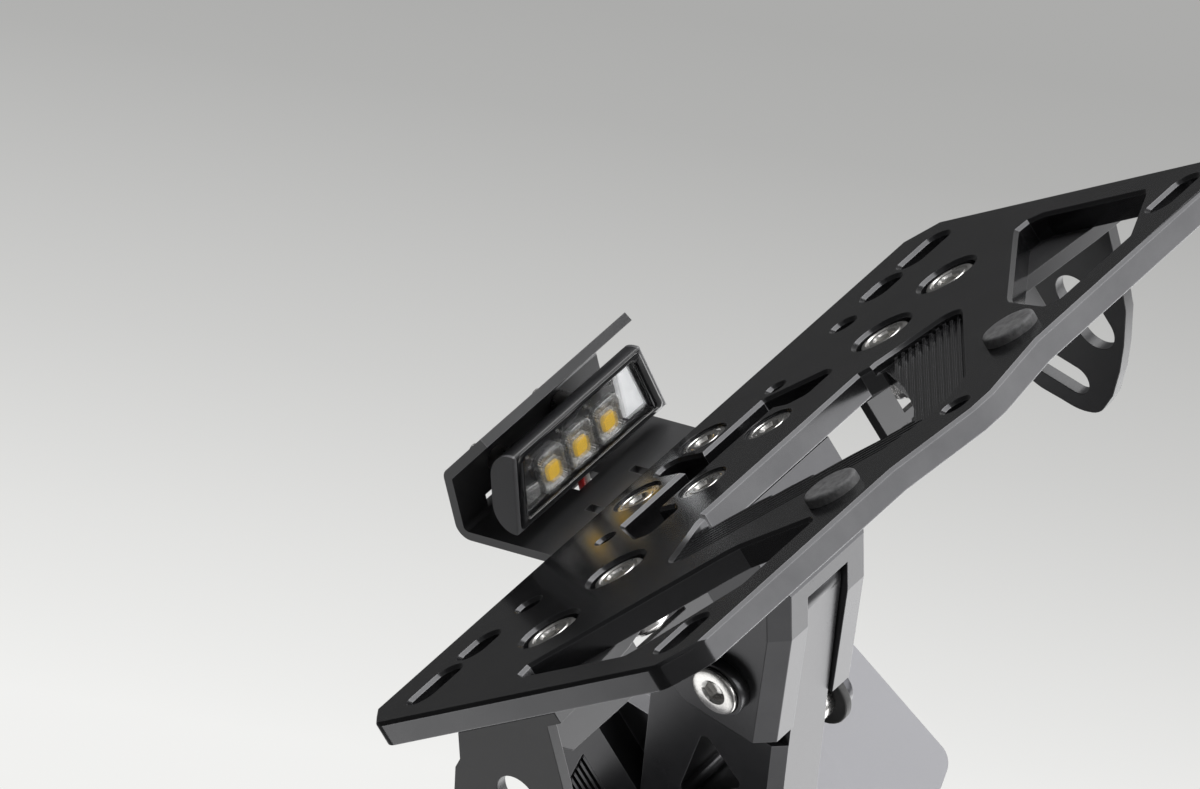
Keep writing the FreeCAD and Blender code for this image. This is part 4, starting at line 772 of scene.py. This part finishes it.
class TIDY_OT_indicator_screws(bpy.types.Operator):
    """Four button screws with turned rings, and the lock nuts behind them"""

    bl_idname = "tidy.indicator_screws"
    bl_label = "Indicator screws and nuts"

    def execute(self, context):
        steel = steel_material("indicator_screw_steel", 0.3)
        mesh = turned_mesh("indicator_screw_form", indicator_screw_rings(sizes().screw_head / MM))
        spots = [row(x, INDICATOR_SEAT, z) for x, z in INDICATOR_SPOTS]
        scatter(
            "indicator_screw_set", mesh, spots, REARWARD, steel, CARRIER_SIDE,
            ["indicator_screws"])
        bright = steel_material("nut_steel", 0.25, (0.62, 0.61, 0.60))
        mesh = turned_mesh("lock_nut_form", LOCK_NUT_RINGS)
        spots = [row(x, INDICATOR_NUT_SEAT, z) for x, z in INDICATOR_SPOTS]
        scatter(
            "indicator_nut_set", mesh, spots, FORWARD, bright, CARRIER_SIDE, ["indicator_nuts"])
        return {"FINISHED"}


class TIDY_OT_hinge(bpy.types.Operator):
    """The hinge bolt's bright head, its lock nut and the screws of the mounting plate"""

    bl_idname = "tidy.hinge"
    bl_label = "Hinge bolt and arm screws"

    def execute(self, context):
        bright = steel_material("bolt_steel", 0.22, (0.66, 0.65, 0.63))
        for name, rings, seat, turn, node in (
            ("hinge_bolt", HINGE_BOLT_RINGS, BOLT_SEAT, LEFTWARD, "pivot_bolt"),
            ("hinge_nut", LOCK_NUT_RINGS, HINGE_NUT_SEAT, RIGHTWARD, "pivot_nut"),
        ):
            turned_piece(name, rings, row(seat, *PIVOT), turn, bright, node, FASTENER_SHARP)
        black = black_steel("screw_black")
        mesh = turned_mesh("plate_screw_form", ARM_SCREW_RINGS)
        spots = [row(0, along, MOUNT_UP) for along in ARM_SCREW_SPOTS]
        scatter("arm_screw_set", mesh, spots, UPWARD, black, ARM_SIDE, ["arm_screws"])
        return {"FINISHED"}


class TIDY_OT_guide(bpy.types.Operator):
    """The steel neck, black disc and screw on the arm's right side"""

    bl_idname = "tidy.guide"
    bl_label = "Side guide"

    def execute(self, context):
        rubber = finish_material("guide_rubber", (0.03, 0.03, 0.03), 0.6, grain=0.2, marks=0.1, tint=0.5)
        dress_node("guide_spacer", steel_material("guide_steel", 0.25, (0.55, 0.54, 0.53)), edge=0.0003)
        dress_node("guide_washer", rubber, edge=0.0004)
        dress_node("guide_screw", black_steel("guide_black"), edge=0.0003)
        return {"FINISHED"}


def rounded_outline(short, long, half, depth, radius, steps=6):
    """The lamp's trapezoid with round corners, at one depth."""
    corners = [(-short, -half), (short, -half), (long, half), (-long, half)]
    points = []
    for index, corner in enumerate(corners):
        before = Vector(corners[index - 1])
        here = Vector(corner)
        after = Vector(corners[(index + 1) % 4])
        start = here + (before - here).normalized() * radius
        end = here + (after - here).normalized() * radius
        for step in range(steps + 1):
            share = step / steps
            point = start * (1 - share) ** 2 + here * 2 * share * (1 - share) + end * share**2
            points.append((point.x, point.y, depth))
    return points


def square_point(share, wide, high, power=0.35):
    """A point on a square with rounded corners, as a share of one turn."""
    angle = math.tau * share
    c, s = math.cos(angle), math.sin(angle)
    return wide * math.copysign(abs(c) ** power, c), high * math.copysign(abs(s) ** power, s)


def small_block(x, y, half_x, half_y, top):
    """Four corners round a place on the lamp's board, and the depth of the top."""
    left, right, lower, upper = x - half_x, x + half_x, y - half_y, y + half_y
    return (left, lower), (right, lower), (right, upper), (left, upper), top


def lamp_loop(form, points):
    """A ring of new corners from points in the lamp's own frame."""
    return [form.verts.new(lamp_row(*point)) for point in points]


def join_rings(form, loops, closed=False):
    """Faces between neighbouring rings, and caps where the form isn't a closed ring."""
    count = len(loops[0])
    for lower, upper in zip(loops, loops[1:] + (loops[:1] if closed else [])):
        for index in range(count):
            following = (index + 1) % count
            form.faces.new((lower[index], lower[following], upper[following], upper[index]))
    if not closed:
        form.faces.new(loops[0])
        form.faces.new(loops[-1])


def finish_form(form, name, material, sharp, replaced=()):
    """Turn a form into a piece of the lamp."""
    bmesh.ops.recalc_face_normals(form, faces=form.faces)
    mesh = bpy.data.meshes.new(name)
    form.to_mesh(mesh)
    form.free()
    mesh_piece(name, mesh, material, CARRIER_SIDE, replaced, sharp)


class TIDY_OT_lamp(bpy.types.Operator):
    """The lamp: gloss frame, ends with painted light, clear front, silver cups, chips with a painted glow
    and their small parts
    """

    bl_idname = "tidy.lamp"
    bl_label = "Lamp"

    def execute(self, context):
        shell = finish_material("lamp_shell", (0.020, 0.020, 0.022), 0.34, grain=0.03, marks=0.1, tint=0.3)
        # Painted light: the shell's ends are painted paler than its middle
        paint_light_on_ends(shell, PAINTED_LIGHT_END, (0.14, 0.14, 0.145))
        gloss = finish_material("lamp_gloss", (0.008, 0.008, 0.009), 0.10, grain=0.0, marks=0.03, coat=0.4)
        silver = finish_material(
            "cup_silver", (0.78, 0.78, 0.77), 0.26, metallic=0.45, grain=0.9, marks=0.25, tint=3.0,
            grain_scale=1300.0, mark_scale=900.0)
        # Painted light: the chips and the white end block glow in their own colours
        chip = finish_material(
            "chip_yellow", tuple(colours().chip), 0.30, grain=0.03, marks=0.08, tint=0.4, coat=0.6,
            painted_glow=CHIP_PAINTED_GLOW)
        white = finish_material(
            "end_white", (0.88, 0.89, 0.90), 0.3, grain=0.02, marks=0.1, tint=0.3, coat=0.5, painted_glow=END_PAINTED_GLOW)
        dark = finish_material("part_dark", (0.03, 0.03, 0.035), 0.25, grain=0.05, coat=0.5)
        board = finish_material(
            "board_dark", (0.035, 0.036, 0.040), 0.22, grain=0.03, marks=0.15, tint=0.6, coat=0.7)
        dress_node("lamp_housing", shell)
        dress_node("lamp_lens", clear_material("lens_clear", (0.97, 0.98, 0.99)))
        dress_node("lamp_board", board)
        self.frame(gloss)
        self.cups(silver)
        self.chips(chip, silver)
        self.ends(white, silver, dark)
        return {"FINISHED"}

    def frame(self, gloss):
        """The gloss frame round the clear front."""
        form = bmesh.new()
        join_rings(form, [lamp_loop(form, rounded_outline(*ring)) for ring in FRAME_SECTION], closed=True)
        finish_form(form, "lamp_frame", gloss, sharp=50.0)

    def cups(self, silver):
        """A square moulded cup round each chip, with sloping inner walls and pleated rims."""
        form = bmesh.new()
        for index in (-1, 0, 1):
            loops = []
            for level, (wide, high, depth) in enumerate(CUP_SECTION):
                points = []
                for step in range(CUP_STEPS):
                    x, y = square_point(step / CUP_STEPS, wide, high)
                    pleat = PLEAT * (-1) ** step if level in PLEATED_RINGS else 0.0
                    points.append((index * CHIP_PITCH + x, CUP_OFFSET + y, depth + pleat))
                loops.append(lamp_loop(form, points))
            join_rings(form, loops, closed=True)
        finish_form(form, "lamp_cups", silver, sharp=20.0, replaced=["lamp_reflector"])

    def chips(self, chip, silver):
        """Yellow domed chips with rounded corners, each in a thin bright frame."""
        for name, top, half, material, replaced in (
            ("chip_domes", 1.72, 1.85, chip, ["lamp_chips"]),
            ("chip_frames", 2.10, 2.45, silver, []),
        ):
            section = (
                (half, BOARD_DEPTH), (half, top + 0.25), (half * 0.93, top + 0.08), (half * 0.7, top))
            form = bmesh.new()
            for index in (-1, 0, 1):
                loops = []
                for reach, depth in section:
                    turns = [step / CHIP_STEPS for step in range(CHIP_STEPS)]
                    corners = [square_point(share, reach, reach, 0.45) for share in turns]
                    loops.append(lamp_loop(form, [
                        (index * CHIP_PITCH + x, CHIP_OFFSET + y, depth) for x, y in corners]))
                join_rings(form, loops)
            finish_form(form, name, material, sharp=40.0, replaced=replaced)

    def ends(self, white, silver, dark):
        """The pale block at one end, the silver tab at the other and the small parts between the cups."""
        parts = [small_block(x, y, *PART_SIZE) for x, y in PART_SPOTS]
        tracks = [small_block(x, y, *TRACK_SIZE) for x, y in TRACK_SPOTS]
        for name, spots, material, slot in (
            ("end_block", [END_BLOCK], white, "reflector"),
            ("end_tab", [END_TAB], silver, "reflector"),
            ("board_parts", parts, dark, "circuit_board"),
            ("board_tracks", tracks, silver, "circuit_board"),
        ):
            form = bmesh.new()
            for *corners, top in spots:
                middle_x = sum(x for x, y in corners) / 4
                middle_y = sum(y for x, y in corners) / 4
                loops = []
                for shrink, depth in ((1.0, PART_DEPTH), (1.0, top + 0.15), (0.9, top)):
                    loops.append(lamp_loop(form, [
                        (middle_x + (x - middle_x) * shrink, middle_y + (y - middle_y) * shrink, depth)
                        for x, y in corners]))
                join_rings(form, loops)
            finish_form(form, name, material, sharp=30.0)


class TIDY_OT_lamp_fixings(bpy.types.Operator):
    """Studs, spacers and nuts that hang the lamp from its bracket"""

    bl_idname = "tidy.lamp_fixings"
    bl_label = "Lamp fixings"

    def execute(self, context):
        steel = steel_material("stud_steel", 0.3, (0.55, 0.54, 0.53))
        dress_node("lamp_studs", steel)
        dress_node("lamp_spacers", steel, edge=0.0002)
        mesh = turned_mesh("lamp_nut_form", LAMP_NUT_RINGS, steps=48)
        spots = [lamp_row(x, y, SPACER_END + BRACKET_THICK) for x, y in NUT_SPOTS]
        turn = Euler((LAMP_TURN, 0, 0))
        black = finish_material("nut_black", (0.04, 0.04, 0.042), 0.4, metallic=0.6, grain=0.04, marks=0.1)
        scatter("lamp_nut_set", mesh, spots, turn, black, CARRIER_SIDE, ["lamp_nuts"])
        return {"FINISHED"}


class TIDY_OT_wires(bpy.types.Operator):
    """The lamp's red and white wires, from its lower side through the bracket into the hinge block"""

    bl_idname = "tidy.wires"
    bl_label = "Lamp wires"

    def execute(self, context):
        for x, name, slot, colour in WIRES:
            coat = finish_material(
                name + "_coat", colour, 0.42, grain=0.04, marks=0.08, tint=0.5, mark_scale=200.0)
            curve = bpy.data.curves.new(name + "_run", "CURVE")
            curve.dimensions = "3D"
            curve.bevel_depth = sizes().wire / 2
            curve.bevel_resolution = 5
            curve.resolution_u = 16
            curve.use_fill_caps = True
            spline = curve.splines.new("NURBS")
            spline.points.add(len(WIRE_ROUTE) - 1)
            for point, (forward, up) in zip(spline.points, WIRE_ROUTE):
                point.co = (*row(x, forward, up), 1.0)
            spline.order_u = 3
            spline.use_endpoint_u = True
            curve.materials.append(coat)
            wire = place_object(name + "_run", curve)
            settle(wire, CARRIER_SIDE, [name])
        return {"FINISHED"}


def add_camera():
    """The long lens that the photograph was taken with, below and behind the carrier."""
    data = bpy.data.cameras.new("long_lens")
    camera = place_object("long_lens", data)
    data.sensor_width = SENSOR
    data.lens = FOCAL_PIXELS * SENSOR / PHOTO_WIDTH
    data.clip_start = 0.1
    data.clip_end = 60.0
    forward = Vector(CAMERA_FORWARD).normalized()
    right = Vector(CAMERA_RIGHT)
    right = (right - forward * right.dot(forward)).normalized()
    up = right.cross(forward)
    turn = Matrix((right, up, -forward)).transposed().to_4x4()
    camera.matrix_world = Matrix.Translation(row(0, 0, 0) + Vector(CAMERA_PLACE)) @ turn
    bpy.context.scene.camera = camera
    return camera


def studio_world():
    """Soft light that is bright ahead and below and dark behind, with a pale background."""
    world = bpy.data.worlds.new("studio")
    bpy.context.scene.world = world
    world.use_nodes = True
    tree = world.node_tree
    tree.nodes.clear()
    place = tree.nodes.new("ShaderNodeTexCoord").outputs["Generated"]
    dot = dot_product(tree, place, tuple(Vector(WORLD_BRIGHT).normalized()))
    shift = math_node(tree, "MULTIPLY_ADD", dot, 0.5, 0.5)
    lit = tree.nodes.new("ShaderNodeBackground")
    tree.links.new(level_ramp(tree, shift, WORLD_LEVELS), lit.inputs["Color"])
    lit.inputs["Strength"].default_value = 1.0
    seen = tree.nodes.new("ShaderNodeBackground")
    seen.inputs["Color"].default_value = (*tuple(colours().backdrop), 1.0)
    rays = tree.nodes.new("ShaderNodeLightPath").outputs
    direct = math_node(tree, "MAXIMUM", rays["Is Camera Ray"], rays["Is Transmission Ray"])
    mirrored = math_node(tree, "MULTIPLY", rays["Is Glossy Ray"], GLOSSY_SHARE)
    mix = tree.nodes.new("ShaderNodeMixShader")
    tree.links.new(math_node(tree, "MAXIMUM", direct, mirrored), mix.inputs["Fac"])
    tree.links.new(lit.outputs[0], mix.inputs[1])
    tree.links.new(seen.outputs[0], mix.inputs[2])
    output = tree.nodes.new("ShaderNodeOutputWorld")
    tree.links.new(mix.outputs[0], output.inputs["Surface"])


def stage_square(name, half, level, material):
    """A flat square sheet of the stage."""
    mesh = bpy.data.meshes.new(name)
    corners = [(-half, -half, level), (half, -half, level), (half, half, level), (-half, half, level)]
    mesh.from_pydata(corners, [], [(0, 1, 2, 3)])
    mesh.materials.append(material)
    return place_object(name, mesh)


def graded_backdrop(camera):
    """A small sheet far behind the object that fills the photograph's frame and fades from grey to pale."""
    half_width = BACKDROP_DISTANCE * (SENSOR / 2) / camera.data.lens
    half_height = half_width * PHOTO_HEIGHT / PHOTO_WIDTH
    material, tree = new_material("graded_backdrop")
    tree.nodes.clear()
    # Painted shade: the glowing sheet fades from pale to darker grey across the frame, as the studio light
    # falls off
    place = dot_product(tree, object_place(tree), BACKDROP_SHADE_WAY)
    span = tree.nodes.new("ShaderNodeMapRange")
    span.inputs["From Min"].default_value = -half_height
    span.inputs["From Max"].default_value = half_height
    tree.links.new(place, span.inputs["Value"])
    painted_glow = tree.nodes.new("ShaderNodeEmission")
    painted_shade = level_ramp(tree, span.outputs["Result"], BACKDROP_LEVELS, BACKDROP_BLUE)
    tree.links.new(painted_shade, painted_glow.inputs["Color"])
    output = tree.nodes.new("ShaderNodeOutputMaterial")
    tree.links.new(painted_glow.outputs[0], output.inputs["Surface"])
    sheet = stage_square("graded_backdrop", half_width * BACKDROP_MARGIN, 0, material)
    sheet.matrix_world = camera.matrix_world @ Matrix.Translation((0, 0, -BACKDROP_DISTANCE))
    sheet.visible_shadow = False
    sheet.visible_diffuse = False


def pale_floor():
    """A wide pale floor well below the hung part."""
    tone = finish_material(
        "floor_grey", tuple(colours().backdrop), 0.8, grain=0.0, marks=0.05, tint=0.1, grain_scale=40.0,
        mark_scale=2.0)
    floor = stage_square("pale_floor", FLOOR_REACH, FLOOR_LEVEL, tone)


def soft_lamp(name, direction, distance, size, power):
    """A square softbox aimed at the object from one direction."""
    data = bpy.data.lights.new(name, "AREA")
    data.shape = "SQUARE"
    data.size = size
    data.energy = power
    lamp = place_object(name, data)
    away = Vector(direction).normalized()
    lamp.location = row(*LIGHT_AIM) + away * distance
    lamp.rotation_mode = "QUATERNION"
    lamp.rotation_quaternion = away.to_track_quat("Z", "Y")


class TIDY_OT_stage(bpy.types.Operator):
    """Camera, pale floor, backdrop and soft studio light"""

    bl_idname = "tidy.stage"
    bl_label = "Stage"

    def execute(self, context):
        context.scene.view_settings.view_transform = "Standard"
        camera = add_camera()
        studio_world()
        graded_backdrop(camera)
        pale_floor()
        for values in SOFT_LAMPS:
            soft_lamp(*values)
        return {"FINISHED"}


STEPS = (
    TIDY_OT_milled,
    TIDY_OT_sheets,
    TIDY_OT_pads,
    TIDY_OT_block_screws,
    TIDY_OT_indicator_screws,
    TIDY_OT_hinge,
    TIDY_OT_guide,
    TIDY_OT_lamp,
    TIDY_OT_lamp_fixings,
    TIDY_OT_wires,
    TIDY_OT_stage,
)


class TIDY_PT_panel(bpy.types.Panel):
    """The steps and values of the tail tidy's finishes"""

    bl_idname = "TIDY_PT_panel"
    bl_label = "Tail tidy"
    bl_space_type = "VIEW_3D"
    bl_region_type = "UI"
    bl_category = "Tail tidy"

    def draw(self, context):
        layout = self.layout
        for values in (context.scene.tidy_colours, context.scene.tidy_sizes):
            column = layout.column()
            for name in values.bl_rna.properties.keys():
                if name not in ("rna_type", "name"):
                    column.prop(values, name)
        for step in STEPS:
            layout.operator(step.bl_idname)


CLASSES = (TidyColours, TidySizes, *STEPS, TIDY_PT_panel)


def register():
    for item in CLASSES:
        bpy.utils.register_class(item)
    bpy.types.Scene.tidy_colours = PointerProperty(type=TidyColours)
    bpy.types.Scene.tidy_sizes = PointerProperty(type=TidySizes)


def unregister():
    del bpy.types.Scene.tidy_sizes
    del bpy.types.Scene.tidy_colours
    for item in reversed(CLASSES):
        bpy.utils.unregister_class(item)


def main():
    """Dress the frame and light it."""
    register()
    for step in STEPS:
        area, name = step.bl_idname.split(".")
        getattr(getattr(bpy.ops, area), name)()
    bpy.context.view_layer.update()


if __name__ == "__main__":
    main()
